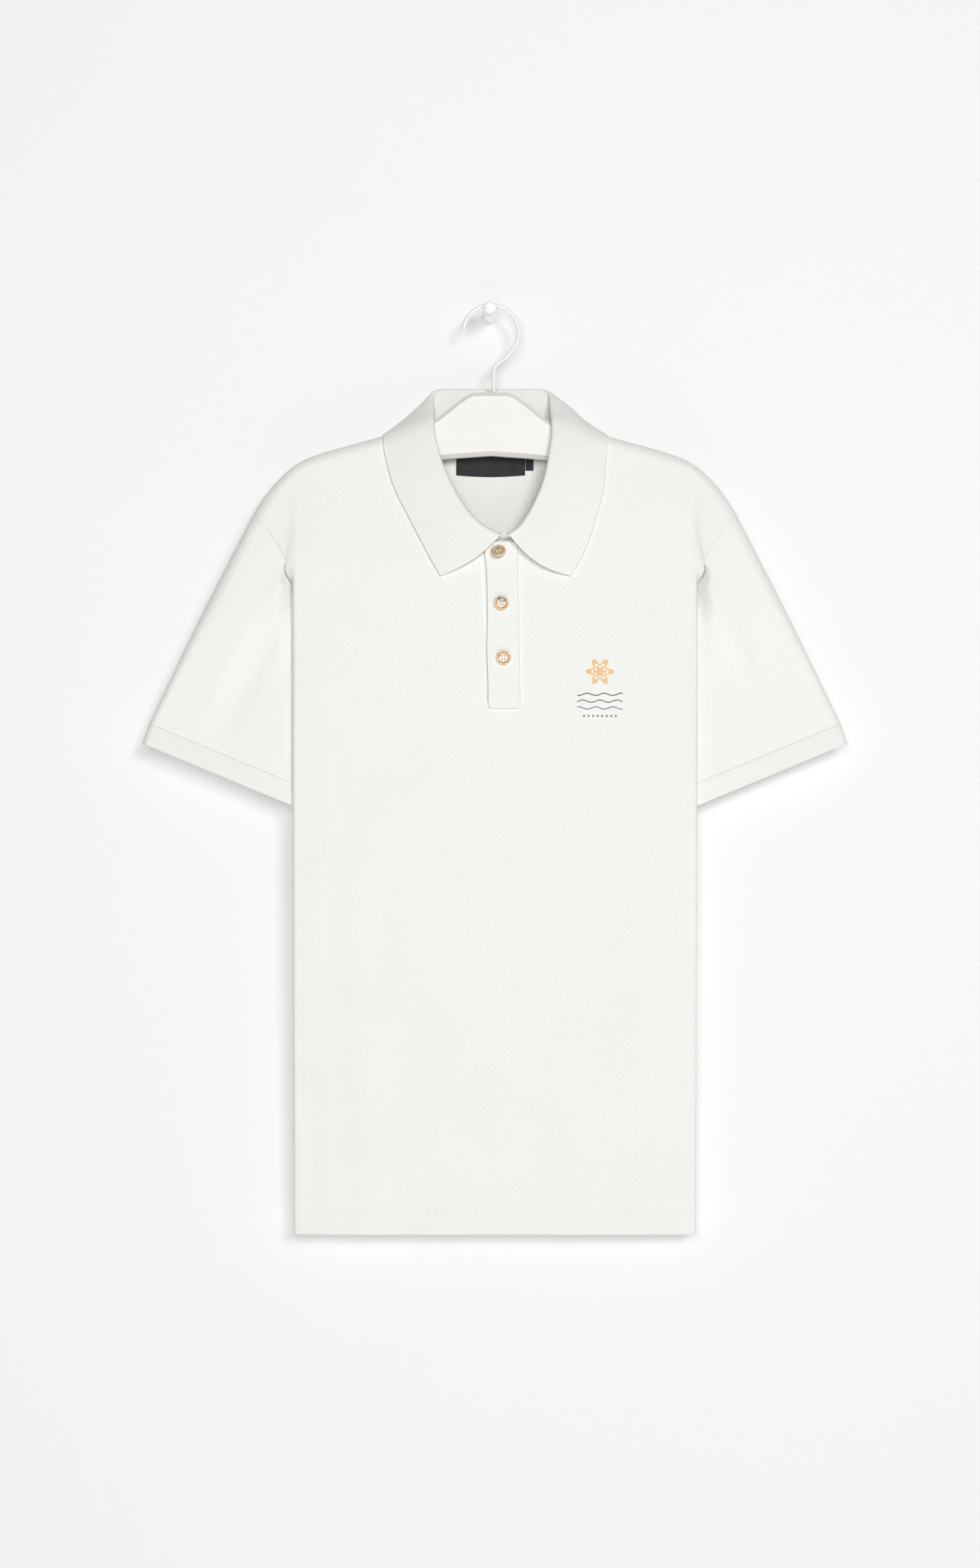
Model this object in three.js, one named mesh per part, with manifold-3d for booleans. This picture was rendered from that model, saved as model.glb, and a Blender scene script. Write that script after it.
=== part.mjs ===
// A men's short-sleeved polo shirt on a flat wooden hanger, hung from a small wall peg.
// Millimetres, +Z up. The origin is the centre of the peg's flat back face, the wall is the plane y = 0,
// and the shirt faces -Y.
import * as THREE from 'three';
import { mergeVertices } from 'three/addons/utils/BufferGeometryUtils.js';
import Module from 'manifold-3d';

const wasm = await Module();
wasm.setup();

// Driving dimensions
const seamGap = 0.3;
const armholeGap = 0.65;
const sideSeamGap = 0.8; // the panels turn towards each other here, so their corners need more
const clothThickness = 1.2;
const ribThickness = 1.6;
const placketThickness = 1.4;

const shirtCentreX = 4.3; // the shirt hangs a little to the right of the peg
const hemHeight = -819.6;
const hemDepth = 22;
const hemExtra = 0.5; // the hem is turned up inside
const shoulderEndX = 213.7;
const foldX = 178; // the sides are folded in behind the front here
const foldRadius = 3;
const crestY = -30; // the shoulder seam, over the middle of the hanger
const crestDrop = 10; // the cloth rounds over the hanger within this height
const sideTuck = 81; // cloth behind each side fold, measured from the fold's start
const sideSeamX = 97;
const valleyReach = 6;
const turnClearance = 1.9; // sideways room for the sleeve where the panel turns in
const foldStart = -212;
const foldFull = -262;
const underarmHeight = -362;

const neckHalfWidth = 82;
const cutterMargin = 40; // the cutters reach this far past the cloth
const neckHeight = -107;
const frontNeckDrop = 96;
const backNeckDrop = 7;
const collarShift = 9.5; // the closed front of the collar sits to the right of the shirt's middle

const placketMiddle = 8;
const placket = { left: -7.5, right: 22.5, bottom: -353, top: -207 };
const underPlacket = { left: -13.5, right: 15.5, bottom: -350, top: -205 };
const placketSlot = { left: -11.5, right: 19.5, bottom: -347, top: -190 };

const cuffWidth = 168;
const cuffSeamOuter = { x: 306.3, z: -366.5 };
const cuffEndOuter = { x: 312.6, z: -384 };
const cuffAngle = THREE.MathUtils.degToRad(22.6);
const cuffHalfDepth = 6.8;
const cuffMiddleY = -28.3;
const cuffRounding = 6;
const sleeveBulge = 2.5;

const neckLabel = { left: -34.4, right: 27, top: -116, bottom: -144.2, sag: 1.5 };
const sizeTab = { left: 27.4, right: 34.5, top: -128, bottom: -140, sag: 0 };
const labelThickness = 0.8;

const neckTape = { halfWidth: 3.2, height: 6, slant: 4, rise: 0.6, halfThickness: 0.5 };

const buttonRadius = 6.5;
const buttonThickness = 2.4;
const buttonHole = { radius: 0.8, place: 1.7 };
const buttons = [
  { name: 'button_1', x: 3, z: -215, tilt: 26, lift: 2.6 },
  { name: 'button_2', x: 5.7, z: -260.7, tilt: 0, lift: 0 },
  { name: 'button_3', x: 7.6, z: -308.7, tilt: 0, lift: 0 },
];

const hangerX = -1; // from the shirt's middle
const hangerThickness = 13;
const hangerBevel = 3.5;
const hookRadius = 24.5;
const wireRadius = 1.7;
const shankX = 3.4;
const hangerTopHeight = -73;
const pegNeckRadius = 3.4;
const pegLength = 48;
const hookY = -30;
const hookTail = [ // from the ring to the shank
  { x: 13.8, z: -41.6 }, { x: 7.2, z: -46.8 }, { x: 4.3, z: -50 }, { x: shankX, z: -54 },
];

// Tables along the height: front and back depth, and the length of cloth past the side fold
const frontDepth = [
  { z: -84, y: -40 }, { z: -130, y: -41.5 }, { z: -180, y: -44.5 }, { z: -240, y: -46.5 },
  { z: -400, y: -45.5 }, { z: -600, y: -40.5 }, { z: -820, y: -33 },
];
const backDepth = [
  { z: -84, y: -14.5 }, { z: -115, y: -15 }, { z: -160, y: -14 }, { z: -240, y: -11.5 },
  { z: -400, y: -11 }, { z: -600, y: -12 }, { z: -820, y: -13 },
];
const tuckLength = [
  { z: -181, length: 38.7 }, { z: -200, length: 22.5 }, { z: -223, length: 10.5 }, { z: -240, length: 12.5 },
  { z: -280, length: 21.4 }, { z: -320, length: 38.4 }, { z: -345, length: 58 },
  { z: underarmHeight, length: sideTuck }, { z: hemHeight, length: sideTuck },
];
const shoulderLine = [
  { x: 0, z: -95.1 }, { x: 40, z: -95.1 }, { x: 70, z: -103.6 }, { x: 97, z: -111.3 }, { x: 128, z: -119.8 },
  { x: 155, z: -127.6 }, { x: 174.5, z: -136 }, { x: 190, z: -149 }, { x: 203.5, z: -165 },
  { x: shoulderEndX, z: -181 },
];
// Soft folds in the panels: where they run, how wide and how high they stand
const frontFolds = [
  { x: -128, lean: 18, width: 16, height: 1.6, top: -420 },
  { x: 142, lean: -20, width: 15, height: 1.4, top: -300 },
  { x: -52, lean: 10, width: 22, height: 1.1, top: -560 },
  { x: 70, lean: 6, width: 24, height: 1.1, top: -600 },
];
const backFolds = [
  { x: -110, lean: 12, width: 18, height: -1.4, top: -330 },
  { x: 20, lean: -8, width: 26, height: -1.5, top: -450 },
  { x: 124, lean: -10, width: 18, height: -1.3, top: -380 },
];

// Half of the collar, from the middle of the back to the front end. seam is the angle round the neck seam
// in degrees (-90 at the back, 0 at the shoulder, 90 at the front); roll is the fold, edge is the free edge
// and lift is how far the fall stands out between them.
const collarStations = [
  { at: 0.0, seam: -90, rollX: 0, rollY: -11.4, rollZ: -67,
    edgeX: 0, edgeY: -8.4, edgeZ: -115, lift: 1.2 },
  { at: 0.12, seam: -66, rollX: 26, rollY: -11.6, rollZ: -67,
    edgeX: 34, edgeY: -8.4, edgeZ: -116, lift: 1.6 },
  { at: 0.22, seam: -42, rollX: 45, rollY: -13, rollZ: -68.5,
    edgeX: 66, edgeY: -9, edgeZ: -117, lift: 3.2 },
  { at: 0.31, seam: -20, rollX: 55, rollY: -18, rollZ: -77,
    edgeX: 89, edgeY: -12.4, edgeZ: -115.5, lift: 6.5 },
  { at: 0.37, seam: -5, rollX: 56, rollY: -24, rollZ: -86,
    edgeX: 96.5, edgeY: -18, edgeZ: -111.8, lift: 7.5 },
  { at: 0.42, seam: 0, rollX: 55.5, rollY: -31.5, rollZ: -93,
    edgeX: 99, edgeY: -30, edgeZ: -108.5, lift: 6.8 },
  { at: 0.475, seam: 4, rollX: 55, rollY: -40.5, rollZ: -99.5,
    edgeX: 98.5, edgeY: -40, edgeZ: -112.2, lift: 4.6 },
  { at: 0.54, seam: 13, rollX: 53.5, rollY: -45, rollZ: -115,
    edgeX: 97, edgeY: -46, edgeZ: -131, lift: 2.4 },
  { at: 0.66, seam: 30, rollX: 44.5, rollY: -50, rollZ: -145,
    edgeX: 92, edgeY: -49.5, edgeZ: -160, lift: 1.4 },
  { at: 0.79, seam: 48, rollX: 32.5, rollY: -53, rollZ: -172,
    edgeX: 80.5, edgeY: -51, edgeZ: -190, lift: 1.2 },
  { at: 0.9, seam: 67, rollX: 18.5, rollY: -55, rollZ: -191,
    edgeX: 69, edgeY: -52, edgeZ: -216, lift: 1.2 },
  { at: 1.0, seam: 86, rollX: 4.6, rollY: -56.5, rollZ: -202,
    edgeX: 57.5, edgeY: -52.5, edgeZ: -237, lift: 1.2 },
];
const collarColumns = 19; // for each half
const rollRounding = 2.2;
const collarEndDip = 6; // the front ends run down in a curve
const collarEndFrom = 0.82;
const collarInset = 0.95; // the strip leaves the seam at a slant, so its corner needs this much

// The hanger's outline, right half, clockwise from the middle of the top
const hangerTop = [
  { x: 15, z: hangerTopHeight }, { x: 26, z: -78.5 }, { x: 54, z: -99.8 }, { x: 75, z: -108.6 },
  { x: 97, z: -114.6 }, { x: 128, z: -122.4 }, { x: 152, z: -130 },
];
const hangerEnd = { x: 163, z: -148, radius: 13.5 };
const hangerBottom = [
  { x: 140, z: -152 }, { x: 97, z: -142 }, { x: 50, z: -133 }, { x: 0, z: -128.8 },
];

// The peg's radius and distance from the wall
const pegProfile = [
  [0, 0], [5.4, 0], [5.4, 17], [5, 20.5], [pegNeckRadius, 26], [pegNeckRadius, 34.5], [4.4, 37],
  [5.7, 39.5], [6, 42], [5.7, 45.6], [4.4, pegLength - 0.4], [0, pegLength],
];

const materials = {
  cloth: { color: '#f4f6f1', roughness: 0.92 },
  rib: { color: '#f5f7f4', roughness: 0.9 },
  button: { color: '#8a5a2b', roughness: 0.3 },
  label: { color: '#1b1c1e', roughness: 0.8 },
  wood: { color: '#f5f3ee', roughness: 0.45 },
  wire: { color: '#f1f1ef', roughness: 0.35 },
  peg: { color: '#e6e6e4', roughness: 0.4 },
};

// Small helpers
const lerp = THREE.MathUtils.lerp;
const smoothstep = (value, from, to) => THREE.MathUtils.smoothstep(value, from, to);

// A smooth curve through a table's rows: key is the column that runs on, column is the one looked up.
function lookUp(table, key, column, at) {
  const rising = table[1][key] > table[0][key];
  const rows = rising ? table : [...table].reverse();
  const last = rows.length - 1;
  if (at <= rows[0][key]) return rows[0][column];
  if (at >= rows[last][key]) return rows[last][column];
  const i = rows.findIndex((row) => row[key] > at) - 1;
  const slope = (a, b) => (rows[b][column] - rows[a][column]) / (rows[b][key] - rows[a][key]);
  const step = rows[i + 1][key] - rows[i][key];
  const slopeHere = slope(Math.max(i - 1, 0), i + 1);
  const slopeNext = slope(i, Math.min(i + 2, last));
  const t = (at - rows[i][key]) / step;
  const rise = rows[i + 1][column] - rows[i][column];
  const curve = (t - 1) * (t - 1) * t * slopeHere * step + t * t * (t - 1) * slopeNext * step;
  return rows[i][column] + rise * t * t * (3 - 2 * t) + curve;
}

function material(kind) {
  return new THREE.MeshStandardMaterial({ ...materials[kind], metalness: 0 });
}

function named(name, geometry, kind) {
  const mesh = new THREE.Mesh(geometry, material(kind));
  mesh.name = name;
  return mesh;
}

// Unit directions along a line of points, one for each point, with the share that a corner adds
function directions(points, closed) {
  const count = points.length;
  const segments = [];
  for (let i = 0; i < (closed ? count : count - 1); i++) {
    segments.push(points[(i + 1) % count].clone().sub(points[i]).normalize());
  }
  return points.map((_, i) => {
    if (!closed && (i === 0 || i === count - 1)) {
      const end = i === 0 ? segments[0] : segments[count - 2];
      const beside = (i === 0 ? segments[1] : segments[count - 3]) ?? end;
      return end.clone().multiplyScalar(1.5).addScaledVector(beside, -0.5);
    }
    const previous = segments[(i - 1 + segments.length) % segments.length];
    return segments[i].clone().add(previous).multiplyScalar(0.5);
  });
}

// A closed wall of cloth round a grid of middle points. outer and inner are the wall's two half thicknesses,
// as numbers or functions of the row. With closed columns the wall is a tube.
function clothWall(rows, { outer, inner = outer, closed = false }) {
  const across = rows.map((row) => directions(row, closed));
  const columns = rows[0].map((_, j) => directions(rows.map((row) => row[j]), false));
  const halfOf = (half, i) => (typeof half === 'function' ? half(i) : half);
  const positions = [];
  for (const [side, half] of [[1, outer], [-1, inner]]) {
    rows.forEach((row, i) => row.forEach((point, j) => {
      const along = across[i][j];
      const down = columns[j][i];
      const normal = down.clone().normalize().cross(along.clone().normalize()).normalize();
      const corner = 1 / Math.max(0.75, Math.min(1, along.length()) * Math.min(1, down.length()));
      const moved = point.clone().addScaledVector(normal, side * halfOf(half, i) * corner);
      positions.push(moved.x, moved.y, moved.z);
    }));
  }
  const width = rows[0].length;
  const height = rows.length;
  const sheet = width * height;
  const index = [];
  const quad = (a, b, c, d) => index.push(a, b, c, a, c, d);
  const lastColumn = closed ? width : width - 1;
  for (let i = 0; i < height - 1; i++) {
    for (let j = 0; j < lastColumn; j++) {
      const right = (j + 1) % width;
      const [a, b, c, d] = [i * width + j, (i + 1) * width + j, (i + 1) * width + right, i * width + right];
      quad(a, b, c, d);
      quad(d + sheet, c + sheet, b + sheet, a + sheet);
    }
  }
  const rim = (a, b) => quad(a, b, b + sheet, a + sheet);
  for (let j = 0; j < lastColumn; j++) {
    const right = (j + 1) % width;
    rim(j, right);
    rim((height - 1) * width + right, (height - 1) * width + j);
  }
  if (!closed) {
    for (let i = 0; i < height - 1; i++) {
      rim((i + 1) * width, i * width);
      rim(i * width + width - 1, (i + 1) * width + width - 1);
    }
  }
  return facingOut(positions, index);
}

// A geometry from points and faces, turned so that its faces point outwards
function facingOut(positions, index) {
  let volume = 0;
  const [a, b, c] = [new THREE.Vector3(), new THREE.Vector3(), new THREE.Vector3()];
  for (let i = 0; i < index.length; i += 3) {
    a.fromArray(positions, index[i] * 3);
    b.fromArray(positions, index[i + 1] * 3);
    c.fromArray(positions, index[i + 2] * 3);
    volume += a.dot(b.cross(c));
  }
  const faces = volume > 0 ? index : index.map((_, i) => index[i - (i % 3) + [0, 2, 1][i % 3]]);
  const geometry = new THREE.BufferGeometry();
  geometry.setAttribute('position', new THREE.Float32BufferAttribute(positions, 3));
  geometry.setIndex(faces);
  geometry.computeVertexNormals();
  return geometry;
}

function toSolid(geometry) {
  const bare = geometry.clone();
  bare.deleteAttribute('normal');
  bare.deleteAttribute('uv');
  const merged = mergeVertices(bare, 1e-4);
  return new wasm.Manifold(new wasm.Mesh({
    numProp: 3,
    vertProperties: new Float32Array(merged.attributes.position.array),
    triVerts: new Uint32Array(merged.index.array),
  }));
}

function fromSolid(solid) {
  const mesh = solid.getMesh();
  return facingOut(Array.from(mesh.vertProperties), Array.from(mesh.triVerts));
}

// The shirt's shape
const shoulderHeight = (x) => lookUp(shoulderLine, 'x', 'z', Math.abs(x));
const collarShiftAt = (z) => collarShift * smoothstep(-z, 110, 225);

function foldsAt(folds, x, z) {
  let height = 0;
  for (const fold of folds) {
    const run = THREE.MathUtils.clamp((fold.top - z) / (fold.top - hemHeight), 0, 1);
    const offset = (x - fold.x - fold.lean * run) / fold.width;
    height += fold.height * smoothstep(run, 0, 0.5) * Math.exp(-offset * offset);
  }
  return height;
}

const sides = {
  front: { depth: frontDepth, folds: frontFolds, toWall: -1 },
  back: { depth: backDepth, folds: backFolds, toWall: 1 },
};

// Middle of the panel at a place, with the rounding over the hanger left out
function panelDepth(side, x, z) {
  const base = lookUp(side.depth, 'z', 'y', z);
  const turnIn = 1.2 * (Math.min(Math.abs(x), foldX) / foldX) ** 6;
  return base + side.toWall * (foldsAt(side.folds, x, z) - turnIn);
}

const flatColumns = [
  foldRadius - foldX, -152, -128, -104, -82, -60, -38, underPlacket.left, placket.left, placketMiddle,
  placket.right, 40, 60, 82, 104, 128, 152, foldX - foldRadius,
];
const foldSteps = 4;
const returnSteps = 2;
const valleySteps = 3;
const tuckSteps = foldSteps + returnSteps + valleySteps;
const crestSteps = 4;
const armholeSteps = 8;
const bodySteps = 9;

// How far along the tucked cloth each of its columns lies
function tuckColumns(length) {
  const arc = Math.min(Math.PI * foldRadius, length * 0.5);
  const valleyStart = Math.max(length - valleyReach * 1.5, (arc + length) / 2);
  return Array.from({ length: tuckSteps }, (_, k) => {
    const step = k + 1;
    if (step <= foldSteps) return arc * step / foldSteps;
    if (step <= foldSteps + returnSteps) return lerp(arc, valleyStart, (step - foldSteps) / returnSteps);
    return lerp(valleyStart, length, (step - foldSteps - returnSteps) / valleySteps);
  });
}

// A point of the cloth past the side fold, seen as the right side of the shirt
function tuckPoint(side, step, length, z, atSeam) {
  const bend = Math.PI * smoothstep(-z, -foldStart, -foldFull);
  const along = tuckColumns(length)[step];
  const start = panelDepth(side, foldX - foldRadius, z);
  const arc = bend * foldRadius;
  const angle = Math.min(along / foldRadius, bend);
  const straight = Math.max(along - arc, 0);
  let x = foldX - foldRadius + foldRadius * Math.sin(angle) + straight * Math.cos(bend);
  let inward = foldRadius * (1 - Math.cos(angle)) + straight * Math.sin(bend);
  const valleyStep = step + 1 - foldSteps - returnSteps;
  if (atSeam && valleyStep >= 0) {
    const turn = valleyStep / valleySteps * Math.PI / 2;
    const seamY = (panelDepth(sides.front, foldX, z) + panelDepth(sides.back, foldX, z)) / 2;
    const reach = Math.abs(seamY - start) - sideSeamGap / 2;
    x = sideSeamX + valleyReach * (1 - Math.sin(turn));
    inward = lerp(2 * foldRadius, reach, 1 - Math.cos(turn));
  }
  return new THREE.Vector3(x, start - side.toWall * inward, z);
}

// The rows of a panel's middle points, from the shoulder seam down to the hem, left to right
function panelRows(side) {
  const topColumns = tuckColumns(tuckLength[0].length).map((along) => foldX - foldRadius + along);
  const runs = [];
  for (let i = 0; i <= crestSteps; i++) runs.push({ angle: i / crestSteps * Math.PI / 2, run: 0 });
  const edgeTop = shoulderHeight(shoulderEndX) - crestDrop;
  const armholeRun = (edgeTop - underarmHeight) / (edgeTop - hemHeight);
  const hemRun = 1 - hemDepth / (edgeTop - hemHeight);
  for (let i = 1; i <= armholeSteps; i++) {
    runs.push({ angle: Math.PI / 2, run: armholeRun * i / armholeSteps });
  }
  for (let i = 1; i <= bodySteps; i++) {
    runs.push({ angle: Math.PI / 2, run: lerp(armholeRun, hemRun, i / bodySteps) });
  }
  runs.push({ angle: Math.PI / 2, run: 1 });

  return runs.map(({ angle, run }, rowIndex) => {
    const heightAt = (x) => {
      const crest = shoulderHeight(x) - crestDrop * (1 - Math.cos(angle));
      return lerp(crest, hemHeight, run);
    };
    const overCrest = (y) => {
      const seamSide = crestY + side.toWall * seamGap / 2;
      return lerp(seamSide, y, Math.sin(angle));
    };
    const edge = heightAt(shoulderEndX);
    const length = lookUp(tuckLength, 'z', 'length', edge);
    const atSeam = rowIndex >= crestSteps + armholeSteps;
    const flat = flatColumns.map((x) => {
      const z = heightAt(x);
      return new THREE.Vector3(x, overCrest(panelDepth(side, x, z)), z);
    });
    const tuck = topColumns.map((topX, step) => {
      const point = tuckPoint(side, step, length, heightAt(topX), atSeam);
      point.y = overCrest(point.y);
      return point;
    });
    const mirrored = tuck.map((point) => new THREE.Vector3(-point.x, point.y, point.z)).reverse();
    return [...mirrored, ...flat, ...tuck];
  });
}

// A place on a panel's mesh, between its rows and columns
function onPanel(rows, x, z) {
  const column = THREE.MathUtils.clamp(flatColumns.findIndex((c) => c > x) - 1, 0, flatColumns.length - 2);
  const share = (x - flatColumns[column]) / (flatColumns[column + 1] - flatColumns[column]);
  const line = rows.map((row) => row[tuckSteps + column].clone().lerp(row[tuckSteps + column + 1], share));
  const below = THREE.MathUtils.clamp(line.findIndex((point) => point.z < z), 1, line.length - 1);
  const part = (line[below - 1].z - z) / (line[below - 1].z - line[below].z);
  return line[below - 1].clone().lerp(line[below], part);
}

// Neck opening, cut through each panel from front to back
function neckPoint(angle) {
  const drop = angle > 0 ? frontNeckDrop : backNeckDrop;
  const z = neckHeight - drop * Math.abs(Math.sin(angle));
  return { half: neckHalfWidth * Math.cos(angle), z };
}

function neckCutter(direction) {
  const outline = new THREE.Shape();
  const steps = 36;
  outline.moveTo(neckHalfWidth, neckHeight + cutterMargin);
  for (let i = 0; i <= steps; i++) {
    const angle = Math.PI * i / steps;
    const { half, z } = neckPoint(direction * Math.min(angle, Math.PI - angle));
    const middle = direction > 0 ? collarShiftAt(z) : 0;
    outline.lineTo(middle + (i <= steps / 2 ? half : -half), z);
  }
  outline.lineTo(-neckHalfWidth, neckHeight + cutterMargin);
  const geometry = new THREE.ExtrudeGeometry(outline, { depth: 2 * cutterMargin, bevelEnabled: false });
  geometry.rotateX(Math.PI / 2);
  return toSolid(geometry);
}

function slotCutter() {
  const width = placketSlot.right - placketSlot.left;
  const height = placketSlot.top - placketSlot.bottom;
  const box = new THREE.BoxGeometry(width, cutterMargin, height);
  box.translate(placketSlot.left + width / 2, -cutterMargin, placketSlot.bottom + height / 2);
  return toSolid(box);
}

const frontRows = panelRows(sides.front);
const backRows = panelRows(sides.back);
const hemRow = frontRows.length - 2;
const panelInner = (row) => clothThickness / 2 + (row >= hemRow ? hemExtra : 0);

function bodyFront() {
  const wall = toSolid(clothWall(frontRows, { outer: clothThickness / 2, inner: panelInner }));
  return fromSolid(wall.subtract(neckCutter(1)).subtract(slotCutter()));
}

function bodyBack() {
  const wall = toSolid(clothWall(backRows.map((row) => [...row].reverse()), {
    outer: clothThickness / 2,
    inner: panelInner,
  }));
  return fromSolid(wall.subtract(neckCutter(-1)));
}

// Sleeves: a flat tube from the armhole to the cuff, seen as the right one
function armholeLine(rows, side) {
  const last = crestSteps + armholeSteps;
  return rows.slice(0, last + 1).map((row, i) => {
    const edge = row[row.length - 1];
    const before = row[row.length - 2];
    const way = edge.clone().sub(before).setZ(0).normalize();
    const stacked = clothThickness + seamGap;
    const turned = (1 - way.x) / 2;
    const point = edge.clone();
    if (i === last) return point.add(new THREE.Vector3(1.6, 0, 0));
    point.x += armholeGap * (1 - turned) - 0.75 * clothThickness * way.y * way.y;
    const clearOfTurn = i > crestSteps ? turnClearance * Math.sqrt(Math.abs(way.y)) : 0;
    point.y -= side.toWall * (stacked * turned + clearOfTurn);
    return point;
  });
}

function cuffLoop(outer, count) {
  const across = new THREE.Vector3(-Math.cos(cuffAngle), 0, -Math.sin(cuffAngle));
  const flatSteps = count - 1 - 2 * crestSteps + 2;
  return [-1, 1].map((toWall) => Array.from({ length: count }, (_, i) => {
    let distance;
    let bulge;
    if (i <= crestSteps) {
      const angle = i / crestSteps * Math.PI / 2;
      distance = cuffRounding * (1 - Math.cos(angle));
      bulge = Math.sin(angle);
    } else if (i <= crestSteps + flatSteps) {
      distance = lerp(cuffRounding, cuffWidth - cuffRounding, (i - crestSteps) / flatSteps);
      bulge = 1;
    } else {
      const angle = (count - 1 - i) / (count - 1 - crestSteps - flatSteps) * Math.PI / 2;
      distance = cuffWidth - cuffRounding * (1 - Math.cos(angle));
      bulge = Math.sin(angle);
    }
    return new THREE.Vector3(outer.x, cuffMiddleY + toWall * cuffHalfDepth * bulge, outer.z)
      .addScaledVector(across, distance);
  }));
}

// Two lines that share their first and last points become one closed loop
function joinLoop([front, back]) {
  const first = front[0].clone().lerp(back[0], 0.5);
  const last = front[front.length - 1].clone().lerp(back[back.length - 1], 0.5);
  return [first, ...front.slice(1, -1), last, ...back.slice(1, -1).reverse()];
}

const armholeLoop = joinLoop([armholeLine(frontRows, sides.front), armholeLine(backRows, sides.back)]);
const loopCount = crestSteps + armholeSteps + 1;
const cuffSeamLoop = joinLoop(cuffLoop(cuffSeamOuter, loopCount));
const cuffEndLoop = joinLoop(cuffLoop(cuffEndOuter, loopCount));

function sleeveRows() {
  const runs = [0, 0.13, 0.3, 0.48, 0.66, 0.83, 1];
  const outward = new THREE.Vector3(Math.cos(cuffAngle), 0, Math.sin(cuffAngle));
  return runs.map((run) => armholeLoop.map((point, i) => {
    const toOuter = Math.min(i, armholeLoop.length - i) / loopCount;
    const bulge = sleeveBulge * Math.sin(Math.PI * run) * (1 - smoothstep(toOuter, 0.3, 0.7));
    return point.clone().lerp(cuffSeamLoop[i], run).addScaledVector(outward, bulge);
  }));
}

function cuffRows() {
  const along = new THREE.Vector3(cuffEndOuter.x - cuffSeamOuter.x, 0, cuffEndOuter.z - cuffSeamOuter.z);
  const gap = along.clone().setLength(seamGap);
  return [0, 0.5, 1].map((run) => cuffSeamLoop.map((point, i) => (
    point.clone().add(gap).lerp(cuffEndLoop[i], run)
  )));
}

function mirrorRows(rows) {
  return rows.map((row) => row.map((point) => new THREE.Vector3(-point.x, point.y, point.z)));
}

function sleeves() {
  const meshes = [];
  for (const [side, mirror] of [['right', (rows) => rows], ['left', mirrorRows]]) {
    const sleeve = clothWall(mirror(sleeveRows()), { outer: clothThickness / 2, closed: true });
    const cuff = clothWall(mirror(cuffRows()), { outer: ribThickness / 2, closed: true });
    meshes.push(named(`sleeve_${side}`, sleeve, 'cloth'), named(`cuff_${side}`, cuff, 'rib'));
  }
  return meshes;
}

// The collar is one strip: the stand rises from the neck seam, rolls over and falls to the free edge
function collarSection(at, hand) {
  const value = (column) => lookUp(collarStations, 'at', column, at);
  const angle = THREE.MathUtils.degToRad(value('seam'));
  const { half, z } = neckPoint(angle);
  const inset = 1 - collarInset / neckHalfWidth;
  const middle = angle > 0 ? collarShiftAt(z) : 0;
  const seamX = middle + hand * half * inset;
  const seamZ = z + collarInset * Math.abs(Math.sin(angle));
  const seam = onPanel(angle > 0 ? frontRows : backRows, seamX, seamZ);
  const placed = (x, y, height) => new THREE.Vector3(collarShiftAt(height) + hand * x, y, height);
  const roll = placed(value('rollX'), value('rollY'), value('rollZ'));
  const edge = placed(value('edgeX'), value('edgeY'), value('edgeZ'));

  const rise = roll.clone().sub(seam).normalize();
  const away = edge.clone().sub(seam);
  away.addScaledVector(rise, -away.dot(rise)).normalize();
  const centre = roll.clone().addScaledVector(rise, -rollRounding);
  const round = [-90, -30, 30, 90].map((degrees) => {
    const turn = THREE.MathUtils.degToRad(degrees);
    return centre.clone()
      .addScaledVector(away, rollRounding * Math.sin(turn))
      .addScaledVector(rise, rollRounding * Math.cos(turn));
  });
  const fallStart = round[3];
  const fall = [0.3, 0.65, 1].map((run) => {
    const arch = Math.sin(Math.PI * run);
    const point = fallStart.clone().lerp(edge, run).addScaledVector(away, value('lift') * arch);
    point.z -= collarEndDip * arch * smoothstep(at, collarEndFrom, 1);
    return point;
  });
  const stand = [0, 0.5].map((run) => seam.clone().lerp(round[0], run));
  return [...stand, ...round, ...fall];
}

function collar() {
  const columns = [];
  for (let i = -collarColumns; i <= collarColumns; i++) {
    columns.push(collarSection(Math.abs(i) / collarColumns, i < 0 ? -1 : 1));
  }
  const rows = columns[0].map((_, k) => columns.map((section) => section[k]));
  return clothWall(rows, { outer: ribThickness / 2 });
}

// A strip that follows the front panel, moved out from its points
function stripOnFront(strip, columns, offset) {
  const heights = [strip.top];
  for (const row of frontRows) {
    const height = row[tuckSteps + flatColumns.indexOf(placketMiddle)].z;
    if (height < strip.top - 3 && height > strip.bottom + 3) heights.push(height);
  }
  heights.push(strip.bottom);
  const rows = heights.map((z) => columns.map((x) => {
    const point = onPanel(frontRows, x, z);
    point.y -= offset;
    return point;
  }));
  return clothWall(rows, { outer: placketThickness / 2 });
}

function plackets() {
  const step = clothThickness / 2 + seamGap + placketThickness / 2;
  const upperColumns = [placket.left, placketMiddle, placket.right];
  const underColumns = [underPlacket.left, placket.left, placketMiddle, underPlacket.right];
  const upper = stripOnFront(placket, upperColumns, step);
  const under = stripOnFront(underPlacket, underColumns, -step);
  return [named('placket_upper', upper, 'cloth'), named('placket_under', under, 'cloth')];
}

function neckTapeEnd() {
  const middle = collarShiftAt(underPlacket.top) - 1;
  const base = onPanel(frontRows, middle, underPlacket.top).y + clothThickness;
  const { halfWidth, height, slant, rise } = neckTape;
  const rows = [0, 0.5, 1].map((run) => [-halfWidth, 0, halfWidth].map((x) => (
    new THREE.Vector3(middle + x, base - slant * run, underPlacket.top + rise + height * run)
  )));
  return named('neck_tape_end', clothWall(rows, { outer: neckTape.halfThickness }), 'cloth');
}

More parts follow.
